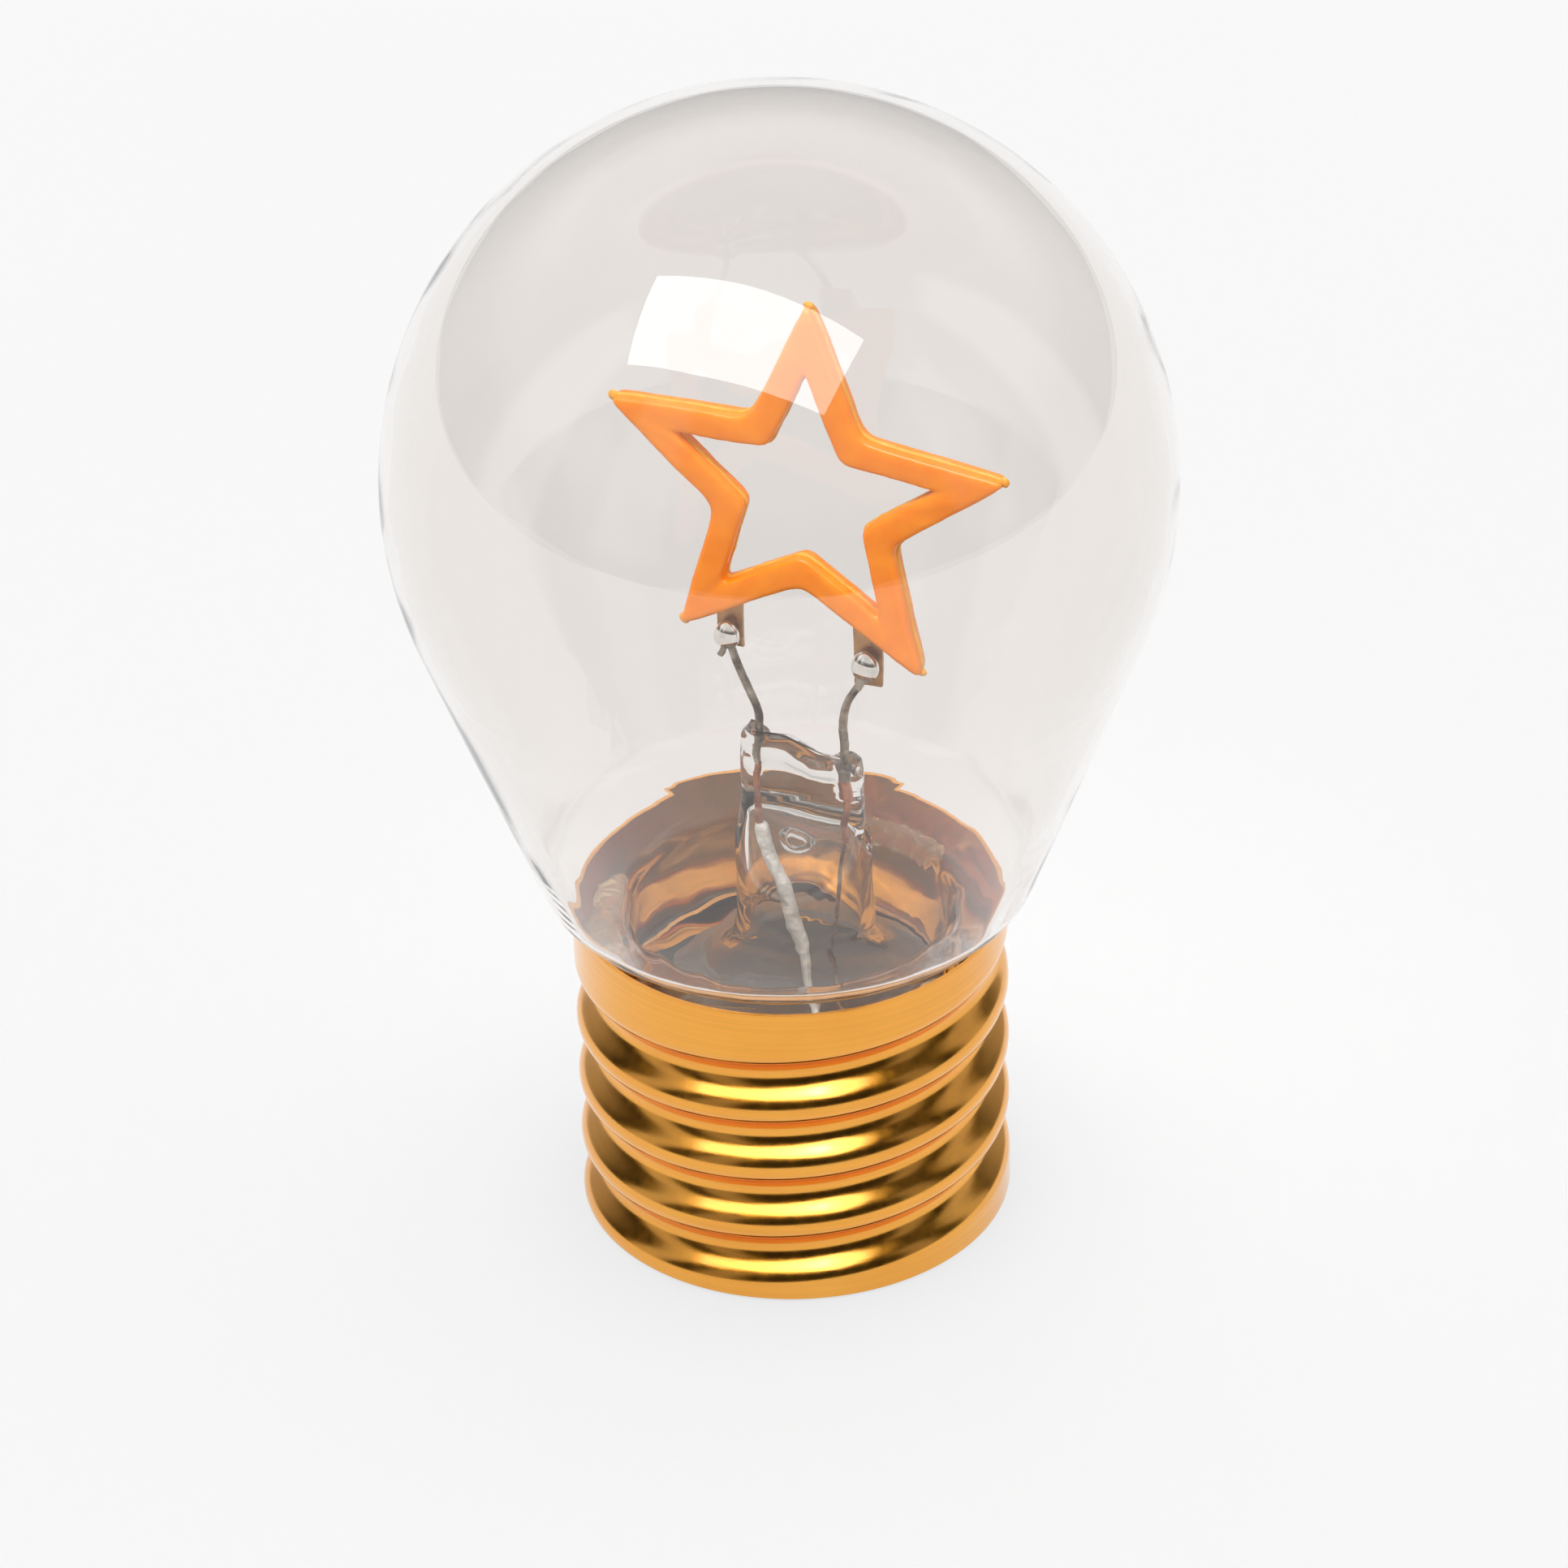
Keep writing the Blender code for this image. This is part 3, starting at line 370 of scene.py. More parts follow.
def rolled_metal(name, dark, light, low, high, direction=(300, 5200, 5200)):
    """Sheet or turned metal with a brushed direction and small stains."""
    made = Surface(name, metallic=1.0, roughness=low)
    made.colour(made.ramp(made.noise(420, 4.0), between(dark, light)))
    made.roughness(made.span(made.noise(700, 4.0), 0.3, 0.7, low, high))
    made.bump(made.noise(1.0, 2.0, place=made.stretched(direction)), 0.006 * MM)
    return made.made


def laminate():
    """Green board with its glass weave showing."""
    made = Surface("board_laminate_visual", roughness=0.4, coat=0.4)
    weave = made.cells(2600)
    made.colour(made.ramp(weave, [(0.2, (0.012, 0.10, 0.035)), (0.8, (0.025, 0.17, 0.065))]))
    made.roughness(made.span(made.noise(800), 0.3, 0.7, 0.28, 0.48))
    made.bump(weave, 0.008 * MM)
    return made.made


def pale_floor():
    """A pale floor, lit evenly from below, so that only a soft contact shadow falls on it."""
    made = Surface("pale_floor", roughness=0.9)
    made.shader.inputs["Specular IOR Level"].default_value = 0.0
    made.shader.inputs["Emission Color"].default_value = (1, 1, 1, 1)
    made.shader.inputs["Emission Strength"].default_value = FLOOR_GLOW
    greys = between((0.325, 0.325, 0.325), (0.335, 0.335, 0.335))
    made.colour(made.ramp(made.noise(6, 2.0), greys))
    return made.made


LOOKS = {
    "glass": blown_glass(),
    "stem_glass": pressed_glass(),
    "outside": anodised(),
    "inside": bright_copper(),
    "phosphor": phosphor(),
    "flash": silicone_flash(),
    "star_metal": plated_brass(),
    "solder": solder_metal(),
    "nickel": drawn_wire("nickel_wire_visual", (0.10, 0.075, 0.055), (0.52, 0.46, 0.38)),
    "copper": drawn_wire("copper_wire_visual", (0.30, 0.10, 0.05), (0.78, 0.36, 0.20)),
    "sleeve": sleeve(),
    "glue": hot_glue(),
    "plastic": moulded("black_moulding", (0.020, 0.020, 0.022), (0.040, 0.040, 0.042)),
    "deck": moulded("deck_moulding", (0.028, 0.026, 0.025), (0.052, 0.049, 0.046), 2400, 0.03),
    "knob": moulded("knob_moulding", (0.050, 0.050, 0.053), (0.085, 0.085, 0.088)),
    "steel": rolled_metal("plated_steel", (0.44, 0.44, 0.45), (0.64, 0.64, 0.65), 0.22, 0.42),
    "cell": rolled_metal("cell_case", (0.62, 0.62, 0.60), (0.80, 0.80, 0.78), 0.14, 0.30),
    "board": laminate(),
    "ceramic": moulded("resistor_body", (0.012, 0.012, 0.012), (0.03, 0.03, 0.03), 5200, 0.01),
    "red": moulded("red_sleeve", (0.42, 0.012, 0.010), (0.62, 0.030, 0.022), 2400, 0.01),
    "black": moulded("black_sleeve", (0.010, 0.010, 0.010), (0.028, 0.028, 0.028), 2400, 0.01),
    "floor": pale_floor(),
}


# ---- mesh helpers ----


def add(name, mesh, look, body="lamp", stands_for=(), sharp=40.0):
    """Puts a finished mesh in the scene and ties it to the frame."""
    obj = bpy.data.objects.new(name, mesh)
    bpy.context.scene.collection.objects.link(obj)
    looks = look if isinstance(look, tuple) else (look,)
    mesh.materials.clear()
    for one in looks:
        mesh.materials.append(LOOKS[one])
    mesh.shade_smooth()
    mesh.set_sharp_from_angle(angle=radians(sharp))
    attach(obj, body)
    if stands_for:
        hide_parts(*stands_for)
    return obj


def to_mesh(name, work):
    bmesh.ops.recalc_face_normals(work, faces=work.faces)
    mesh = bpy.data.meshes.new(name)
    work.to_mesh(mesh)
    work.free()
    return mesh


def skin(work, rings, closed=False):
    """Joins each ring of corners to the next one, and the last to the first if closed."""
    following = [*rings[1:], rings[0]] if closed else rings[1:]
    for first, second in zip(rings, following):
        for one in range(len(first)):
            two = (one + 1) % len(first)
            work.faces.new((first[one], first[two], second[two], second[one]))


def revolved(name, profile, steps, shape=None):
    """A skin round Z from (radius, height) points. shape moves each point by its place."""
    work = bmesh.new()
    rings = []
    for index, (radius, height) in enumerate(profile):
        if radius < 1e-7:
            rings.append([work.verts.new((0, 0, height))] * steps)
            continue
        ring = []
        for step in range(steps):
            angle = 2 * pi * step / steps
            point = Vector((radius * cos(angle), radius * sin(angle), height))
            ring.append(work.verts.new(shape(point, angle, index) if shape else point))
        rings.append(ring)
    for first, second in zip(rings, rings[1:]):
        for step in range(steps):
            after = (step + 1) % steps
            corners = [first[step], first[after], second[after], second[step]]
            unique = list(dict.fromkeys(corners))
            if len(unique) > 2:
                work.faces.new(unique)
    return to_mesh(name, work)


def swept(name, points, section, up=Vector((0, 1, 0))):
    """A skin along points. section gives the (across, out) loop at a share of the way."""
    work = bmesh.new()
    last = len(points) - 1
    rings = []
    for index, point in enumerate(points):
        before = points[max(index - 1, 0)]
        after = points[min(index + 1, last)]
        along = (after - before).normalized()
        side = along.cross(up).normalized()
        out = side.cross(along).normalized()
        loop = section(index / len(points))
        rings.append([work.verts.new(point + side * a + out * b) for a, b in loop])
    skin(work, rings)
    work.faces.new(rings[0])
    work.faces.new(reversed(rings[-1]))
    return to_mesh(name, work)


def smooth_path(points, steps=8):
    """A smooth curve through the points, as Catmull-Rom pieces."""
    places = [Vector(p) for p in points]
    places = [2 * places[0] - places[1], *places, 2 * places[-1] - places[-2]]
    path = []
    for before, start, end, after in zip(places, places[1:], places[2:], places[3:]):
        for step in range(steps):
            t = step / steps
            bend = (2 * before - 5 * start + 4 * end - after) * t**2
            twist = (3 * start - before - 3 * end + after) * t**3
            path.append(0.5 * (2 * start + (end - before) * t + bend + twist))
    return [*path, places[-2]]


TAPER_SHARE = 0.015  # of a wire's length, at each end


def round_section(radius, sides=14, unevenness=0.0, seed=0.0):
    """A round loop whose radius drifts along the sweep, drawn in at both ends."""

    def loop(share):
        end = min(share, 1 - share)
        taper = 1.0 if end > TAPER_SHARE else 0.72 + 0.28 * end / TAPER_SHARE
        made = []
        for side in range(sides):
            angle = 2 * pi * side / sides
            wander = noise.noise(Vector((share * 26, cos(angle) + seed, sin(angle))))
            reach = radius * taper * (1 + unevenness * wander)
            made.append((reach * cos(angle), reach * sin(angle)))
        return made

    return loop


def arc(centre, radius, start, end, steps):
    """Points on a circle, with its angles in degrees."""
    angles = [radians(start + (end - start) * i / steps) for i in range(steps + 1)]
    return [(centre[0] + radius * cos(a), centre[1] + radius * sin(a)) for a in angles]


def smoothstep(low, high, value):
    t = min(max((value - low) / (high - low), 0.0), 1.0)
    return t * t * (3 - 2 * t)


def on_stem(points):
    """Points of the stem's frame in the frame of the lamp."""
    return [STEM @ Vector(p) for p in points]


def drift(point, scale, seed):
    """Smooth noise between about -1 and 1 at a place."""
    return noise.noise(Vector(point) * scale + Vector((seed, seed * 0.7, -seed)))


# ---- glass envelope ----


def bulb_outline(wall):
    """The envelope's profile from its top to the neck, drawn in by the wall thickness."""
    cone = degrees(CONE_ANGLE)
    dome = arc((0, BULB_CENTRE_Z), BULB_RADIUS - wall, 90, -cone, 64)
    cone_top_radius = BULB_RADIUS * cos(CONE_ANGLE)
    cone_top_z = BULB_CENTRE_Z - BULB_RADIUS * sin(CONE_ANGLE)
    cone_end_radius = cone_top_radius - (cone_top_z - CONE_LOW_Z) * tan(CONE_ANGLE)
    centre = (
        cone_end_radius - SHOULDER_RADIUS * cos(CONE_ANGLE),
        CONE_LOW_Z + SHOULDER_RADIUS * sin(CONE_ANGLE),
    )
    shoulder = arc(centre, SHOULDER_RADIUS - wall, -cone, -degrees(SHOULDER_ANGLE), 14)
    cone_points = []
    for step in range(1, 14):
        t = step / 14
        (x1, z1), (x2, z2) = dome[-1], shoulder[0]
        cone_points.append((x1 + (x2 - x1) * t, z1 + (z2 - z1) * t))
    fillet_radius = NECK_FILLET + wall
    fillet_x = NECK_RADIUS + NECK_FILLET
    end_x, end_z = shoulder[-1]
    start_x = fillet_x - fillet_radius * cos(SHOULDER_ANGLE)
    start_z = end_z - (end_x - start_x) * tan(pi / 2 - SHOULDER_ANGLE)
    fillet_z = start_z - fillet_radius * sin(SHOULDER_ANGLE)
    fillet = arc((fillet_x, fillet_z), fillet_radius, 180 - degrees(SHOULDER_ANGLE), 180, 8)
    neck = [(NECK_RADIUS - wall, fillet_z - (fillet_z - NECK_BOTTOM) * i / 8) for i in range(1, 9)]
    return [*dome, *cone_points, *shoulder, *fillet, *neck]


def make_envelope():
    """Blown glass: true above, a little uneven where the shoulder was worked."""
    outer = bulb_outline(0.0)
    inner = bulb_outline(GLASS_WALL)
    outer[0] = (0, outer[0][1])
    inner[0] = (0, inner[0][1])
    lip = [(NECK_RADIUS - GLASS_WALL / 2, NECK_BOTTOM)]
    split = len(outer)

    def worked(point, angle, index):
        """Draws a point in a little, more so on the inside and low down."""
        low = 1 - smoothstep(26 * MM, 46 * MM, point.z)
        amount = 0.02 * MM + 0.11 * MM * low
        seed = 3.0 if index > split else 0.0
        if index > split:
            amount *= 1.9
        push = drift(point, 150 + 120 * low, seed) * amount
        return point - Vector((cos(angle), sin(angle), 0)) * abs(push)

    mesh = revolved("envelope", [*outer, *lip, *reversed(inner)], 160, worked)
    obj = add("envelope", mesh, "glass", stands_for=["glass_bulb"], sharp=80)
    obj.visible_shadow = False


# ---- base shell ----


def thread_drop(phase):
    """How far the thread lies below its crests: equal arcs joined by straight flanks."""
    half_pitch = THREAD_PITCH / 2
    rise = 1 - cos(THREAD_SLOPE)
    radius = (half_pitch * sin(THREAD_SLOPE) - THREAD_DEPTH * cos(THREAD_SLOPE)) / rise / 2
    reach = radius * sin(THREAD_SLOPE)
    from_valley = abs(phase - floor(phase + 0.5)) * THREAD_PITCH
    from_crest = half_pitch - from_valley
    if from_valley < reach:
        return THREAD_DEPTH - radius + (radius**2 - from_valley**2) ** 0.5
    if from_crest < reach:
        return radius - (radius**2 - from_crest**2) ** 0.5
    return radius * rise + (from_crest - reach) * tan(THREAD_SLOPE)


def shell_radius(angle, z):
    """The outside radius, with a right-hand thread that dies out at both ends."""
    turn = (degrees(angle) + 90) / 360
    phase = (z - FIRST_VALLEY_Z) / THREAD_PITCH - turn
    nearest = floor(phase + 0.5)
    valley_z = z - (phase - nearest) * THREAD_PITCH
    top = 1 - smoothstep(*THREAD_TOP, valley_z)
    bottom = smoothstep(*THREAD_BOTTOM, valley_z)
    return CREST_RADIUS - thread_drop(phase) * top * bottom


def make_shell():
    """The rolled shell: satin outside, bright inside, with a thin trimmed edge at the rim."""
    rows = 150
    heights = [SHELL_BOTTOM + (RIM_Z - SHELL_BOTTOM) * i / rows for i in range(rows + 1)]
    outside = [(0.0, z) for z in heights]
    rim = [(SHELL_WALL * 0.5, RIM_Z + 0.03 * MM)]
    inside = [(SHELL_WALL, z) for z in reversed(heights)]
    rings = [*outside, *rim, *inside]
    work = bmesh.new()
    steps = 220
    made = []
    for inset, z in rings:
        ring = []
        for step in range(steps):
            angle = -pi + 2 * pi * step / steps
            edge = smoothstep(RIM_Z - 0.5 * MM, RIM_Z, z)
            nick = drift((cos(angle), sin(angle), 0), 26, 5.0) * 0.04 * MM * edge
            radius = shell_radius(angle, z) - inset + nick
            ring.append(work.verts.new((radius * cos(angle), radius * sin(angle), z - abs(nick))))
        made.append(ring)
    for index in range(len(made)):
        below, above = made[index], made[(index + 1) % len(made)]
        for step in range(steps):
            after = (step + 1) % steps
            face = work.faces.new((below[step], below[after], above[after], above[step]))
            face.material_index = 1 if len(outside) <= index < len(made) - 1 else 0
    mesh = to_mesh("thread_shell", work)
    looks = ("outside", "inside")
    add("thread_shell", mesh, looks, stands_for=["base_shell"], sharp=60)


# ---- stem ----


def stem_ring(z, half_x, half_y, squareness, wave=0.0):
    """A loop at a height: round or pinched, thickened where the glass is drawn up the leads."""
    sides = 96
    ring = []
    for side in range(sides):
        angle = 2 * pi * side / sides
        c, s = cos(angle), sin(angle)
        x = half_x * abs(c) ** (2 / squareness) * (1 if c > 0 else -1)
        y = half_y * abs(s) ** (2 / squareness) * (1 if s > 0 else -1)
        sheath = SHEATH_RADIUS[0 if x < 0 else 1] * smoothstep(SEAL_Z - SHEATH_FADE, SEAL_Z, z)
        off = abs(abs(x) - SHEATH_X)
        if off < sheath:
            y = max(abs(y), (sheath**2 - off**2) ** 0.5) * (1 if s > 0 else -1)
        point = Vector((x, y, z))
        push = drift(point, 260, 8.0) * wave
        ring.append(point + Vector((c, s, 0)) * push)
    return ring


def flare_points():
    """The flare's curve, and how far it has to be lifted to stand at its place."""
    centre = (FLARE_RADIUS, FLARE_BOTTOM + 6 * MM)
    flare = arc(centre, FLARE_RADIUS - STEM_RADIUS, 250, 180, 16)
    return flare, FLARE_BOTTOM + STEM_WALL - flare[0][1]


def stem_outside():
    """Rings from the flare's rim up to the top of the press."""
    flare, lift = flare_points()
    rings = [stem_ring(FLARE_BOTTOM, FLARE_RADIUS, FLARE_RADIUS, 2)]
    rings += [stem_ring(z + lift, r, r, 2, 0.04 * MM) for r, z in flare]
    low = flare[-1][1] + lift
    steps = 60
    for step in range(1, steps + 1):
        z = low + (PRESS_TOP - low) * step / steps
        t = smoothstep(*PINCH_OUTSIDE, z)
        ridge = smoothstep(*RIDGE_HEIGHTS, z)
        half_x = STEM_RADIUS + (PRESS_HALF - STEM_RADIUS) * t
        half_y = STEM_RADIUS + (PRESS_HALF_THICKNESS - STEM_RADIUS) * t + RIDGE_SWELL * ridge
        close = smoothstep(PRESS_TOP - 1.3 * MM, PRESS_TOP, z)
        half_y *= (1 - close**3) ** 0.5 * 0.98 + 0.02
        half_x -= 0.5 * MM * close**2
        wave = 0.10 * MM + 0.16 * MM * ridge
        rings.append(stem_ring(z, half_x, half_y, 2 + 1.6 * t, wave))
    return rings


def stem_inside():
    """Rings of the bore, from the closed shoulder under the press down to the flare."""
    flare, lift = flare_points()
    drop = STEM_WALL * 0.34
    edge = FLARE_RADIUS - 0.3 * MM
    rings = [stem_ring(FLARE_BOTTOM, edge, edge, 2)]
    for radius, z in flare:
        bore = radius - STEM_WALL * 0.94
        rings.append(stem_ring(z + lift - drop, bore, bore, 2, 0.03 * MM))
    low = flare[-1][1] + lift - drop
    top = STEM_SHOULDER_Z + 0.3 * MM
    bore = STEM_RADIUS - STEM_WALL
    steps = 34
    for step in range(1, steps + 1):
        z = low + (top - low) * step / steps
        t = smoothstep(*PINCH_INSIDE, z)
        close = smoothstep(top - 0.9 * MM, top, z)
        half_x = (bore - 0.1 * MM * t) * (1 - 0.12 * close)
        half_y = (bore + (CLOSED_BORE - bore) * t) * ((1 - close**2) ** 0.5 * 0.97 + 0.03)
        rings.append(stem_ring(z, half_x, half_y, 2 + t, 0.06 * MM))
    return rings


def make_stem():
    """Flare, tube and a pinched press with glass drawn up round both leads."""
    outside, inside = stem_outside(), stem_inside()
    work = bmesh.new()
    rings = [[work.verts.new(point) for point in ring] for ring in [*reversed(inside), *outside]]
    skin(work, rings)
    for ring in (rings[0], rings[-1]):
        work.faces.new(ring)
    mesh = to_mesh("stem", work)
    for vert in mesh.vertices:
        lean = smoothstep(SLOPE_START, PRESS_TOP, vert.co.z)
        along = vert.co.x / PRESS_HALF
        vert.co.z -= lean * (1.17 + 0.92 * along + 0.25 * sin(along * 7.0)) * MM
    mesh.transform(STEM)
    obj = add("stem", mesh, "stem_glass", stands_for=["glass_stem"], sharp=80)
    obj.visible_shadow = False


def make_bead():
    """The collapsed exhaust hole: a small thick ring of glass under the press."""
    place = STEM @ Matrix.Translation((0.3 * MM, -2.3 * MM, STEM_SHOULDER_Z - 0.9 * MM))
    thickness = 0.42 * MM
    steps, sides = 28, 12
    work = bmesh.new()
    rings = []
    for step in range(steps):
        angle = 2 * pi * step / steps
        radius = (1.05 + 0.10 * sin(3 * angle + 0.6)) * MM
        ring = []
        for side in range(sides):
            turn = 2 * pi * side / sides
            reach = radius + thickness * cos(turn)
            height = thickness * sin(turn) * 0.8
            ring.append(work.verts.new((reach * cos(angle), height, reach * sin(angle) * 0.7)))
        rings.append(ring)
    skin(work, rings, closed=True)
    mesh = to_mesh("exhaust_bead", work)
    mesh.transform(place)
    obj = add("exhaust_bead", mesh, "stem_glass", sharp=70)
    obj.visible_shadow = False


def make_leads():
    """The stiff wires up to the star, and their copper ends inside the tube."""
    front = -2 * SUBSTRATE_HALF
    sides = (("left", -1, -0.15 * MM), ("right", 1, -0.5 * MM))
    for (name, side, bow), solder_z in zip(sides, SOLDER_Z):
        top = solder_z - SOLDER_RADIUS
        points = on_stem(
            [
                (side * (TAB_X - 0.25 * MM), front - LEAD_RADIUS, top + 0.8 * MM),
                (side * (TAB_X - 0.45 * MM), front - LEAD_RADIUS, top - 0.4 * MM),
                (side * (TAB_X - 1.1 * MM) + bow, front, top - 2.6 * MM),
                (side * LEAD_X + bow * 0.3, 0, PRESS_TOP + 1.4 * MM),
                (side * LEAD_X, 0, PRESS_TOP - 0.6 * MM),
                (side * LEAD_X, 0, SEAL_Z),
            ]
        )
        section = round_section(LEAD_RADIUS, 14, 0.10, side)
        mesh = swept(f"lead_{name}", smooth_path(points, 9), section)
        stands_for = [f"inner_lead_{name}"]
        add(f"lead_{name}", mesh, "nickel", stands_for=stands_for, sharp=60)
        lean = 0.12 * MM * side
        seal = on_stem(
            [
                (side * LEAD_X, 0, SEAL_Z),
                (side * LEAD_X + lean, 0.05 * MM, SEAL_Z - 1.8 * MM),
                (side * LEAD_X - lean, -0.1 * MM, SEAL_Z - 3.7 * MM),
                (side * LEAD_X, 0, SEAL_WIRE_BOTTOM),
            ]
        )
        section = round_section(LEAD_RADIUS * 0.9, 12, 0.14, 4)
        mesh = swept(f"sealed_{name}", smooth_path(seal, 8), section)
        stands_for = [f"seal_wire_{name}"]
        add(f"sealed_{name}", mesh, "copper", stands_for=stands_for, sharp=60)


def make_lower_leads():
    """The sleeved and the bare wire, from the tube over the deck and down through it."""
    sideways = Vector((1, 0.2, 0))
    deck = DECK_TOP + 1.1 * MM
    sleeved = [
        *on_stem(
            [
                (-LEAD_X + 0.1 * MM, 0, SEAL_WIRE_BOTTOM),
                (-2.9 * MM, -0.3 * MM, 30.3 * MM),
                (-1.5 * MM, -0.6 * MM, 27.6 * MM),
                (-0.9 * MM, -0.7 * MM, 24.8 * MM),
                (0.1 * MM, -0.9 * MM, 22.0 * MM),
            ]
        ),
        Vector((1.8 * MM, -2.4 * MM, 17.4 * MM)),
        Vector((1.9 * MM, -5.6 * MM, deck)),
        Vector((1.9 * MM, -8.6 * MM, DECK_TOP - 0.5 * MM)),
        Vector((1.9 * MM, -8.6 * MM, LOWER_LEAD_BOTTOM)),
    ]
    section = round_section(SLEEVE_RADIUS, 18, 0.22, 2.0)
    mesh = swept("sleeved_lead", smooth_path(sleeved, 14), section, up=sideways)
    stands_for = ["insulated_lead"]
    add("sleeved_lead", mesh, "sleeve", stands_for=stands_for, sharp=60)
    bare = [
        *on_stem(
            [
                (LEAD_X - 0.1 * MM, 0, SEAL_WIRE_BOTTOM),
                (2.9 * MM, -0.4 * MM, 27.0 * MM),
                (2.3 * MM, -0.8 * MM, 21.5 * MM),
            ]
        ),
        Vector((3.9 * MM, -3.6 * MM, 17.2 * MM)),
        Vector((4.5 * MM, -6.6 * MM, DECK_TOP + 0.8 * MM)),
        Vector((4.6 * MM, -8.4 * MM, DECK_TOP - 0.8 * MM)),
        Vector((4.6 * MM, -8.4 * MM, LOWER_LEAD_BOTTOM)),
    ]
    section = round_section(BARE_LEAD_RADIUS, 10, 0.1, 6.0)
    mesh = swept("thin_lead", smooth_path(bare, 12), section, up=sideways)
    add("thin_lead", mesh, "nickel", stands_for=["bare_lead"], sharp=60)


# ---- star ----


def star_loop(half_width, per_edge=34, passes=11):
    """The star grown outward by half_width, evenly sampled, with its corners softened."""
    notch = Vector((STAR_NOTCH * sin(pi / 5), 0, STAR_NOTCH * cos(pi / 5)))
    edge = notch - Vector((0, 0, STAR_TIP))
    distance = STAR_TIP * notch.x / edge.length
    grown = (distance + half_width) / distance
    corners = []
    for corner in range(10):
        reach = (STAR_TIP if corner % 2 == 0 else STAR_NOTCH) * grown
        if corner % 2 == 0 and half_width > 0:
            reach -= STAR_TIP_TRIM
        turn = pi * corner / 5
        corners.append(Vector((reach * sin(turn), 0, reach * cos(turn))))
    loop = []
    for start, end in zip(corners, [*corners[1:], corners[0]]):
        loop += [start.lerp(end, step / per_edge) for step in range(per_edge)]
    for _ in range(passes):
        after = [*loop[1:], loop[0]]
        before = [loop[-1], *loop[:-1]]
        loop = [(a + b * 2 + c) / 4 for a, b, c in zip(before, loop, after)]
    return loop


def star_place():
    """Where the star stands: on the stem, leaning a little."""
    return STEM @ Matrix.Translation((STAR_X, 0, STAR_Z)) @ Matrix.Rotation(STAR_LEAN, 4, "Y")


def star_band(name, half_width, section):
    """A closed band round the star, standing up in the stem's frame."""
    outer, inner = star_loop(half_width), star_loop(-half_width)
    work = bmesh.new()
    rings = []
    for far, near in zip(outer, inner):
        middle = (far + near) / 2
        across = (far - near) / 2
        loop = section(middle)
        rings.append([work.verts.new(middle + across * a + Vector((0, b, 0))) for a, b in loop])
    skin(work, rings, closed=True)
    mesh = to_mesh(name, work)
    mesh.transform(star_place())
    return mesh


def coating_section(face, seed):
    """A flat-topped bead of silicone on one face of the metal, with a soft wavering edge."""
    sides = 18
    full = COATING_FACE - SUBSTRATE_HALF - COATING_GAP

    def loop(point):
        wander = drift(point, 420, seed) * 0.05 + drift(point, 1300, seed) * 0.025
        tall = full + drift(point, 500, seed + 3) * COATING_GAP
        made = []
        for step in range(sides + 1):
            turn = pi * step / sides
            across = abs(cos(turn)) ** 0.45 * (1 if turn < pi / 2 else -1)
            rise = SUBSTRATE_HALF + tall * abs(sin(turn)) ** 0.40
            made.append(((0.97 + wander) * across, face * rise))
        return made

    return loop


def flash_section(seed):
    """The thin ragged film left where the two halves of the mould met."""

    def loop(point):
        ragged = 0.5 + 0.5 * drift(point, 700, seed) + 0.3 * drift(point, 2400, seed)
        half = 1.0 + 0.11 * max(ragged, 0.0)
        thick = SUBSTRATE_HALF + 0.03 * MM
        edge = thick * 0.35
        return [
            (half, edge),
            (half * 0.97, thick),
            (-half * 0.97, thick),
            (-half, edge),
            (-half, -edge),
            (-half * 0.97, -thick),
            (half * 0.97, -thick),
            (half, -edge),
        ]

    return loop


def make_star():
    """Both coatings, the mould's flash between them, and a nub of it at each tip."""
    for side, face, seed in (("front", -1, 1.0), ("back", 1, 7.0)):
        mesh = star_band(f"phosphor_{side}", BAND_HALF_WIDTH, coating_section(face, seed))
        add(
            f"phosphor_{side}",
            mesh,
            "phosphor",
            stands_for=[f"star_coating_{side}"],
            sharp=75,
        )
    mesh = star_band("mould_flash", BAND_HALF_WIDTH, flash_section(11.0))
    add("mould_flash", mesh, "flash", sharp=75)
    loop = star_loop(BAND_HALF_WIDTH)
    tips = loop[:: len(loop) // 5]
    for number, tip in enumerate(tips, start=1):
        work = bmesh.new()
        bmesh.ops.create_icosphere(work, subdivisions=3, radius=TIP_NUB_RADIUS)
        for vert in work.verts:
            lump = 1 + 0.45 * drift(vert.co, 1300, number * 3.1)
            vert.co = Vector((vert.co.x * lump, vert.co.y * 0.7, vert.co.z * lump))
        mesh = to_mesh(f"tip_flash_{number}", work)
        mesh.transform(star_place() @ Matrix.Translation(tip))
        add(f"tip_flash_{number}", mesh, "flash", sharp=75)


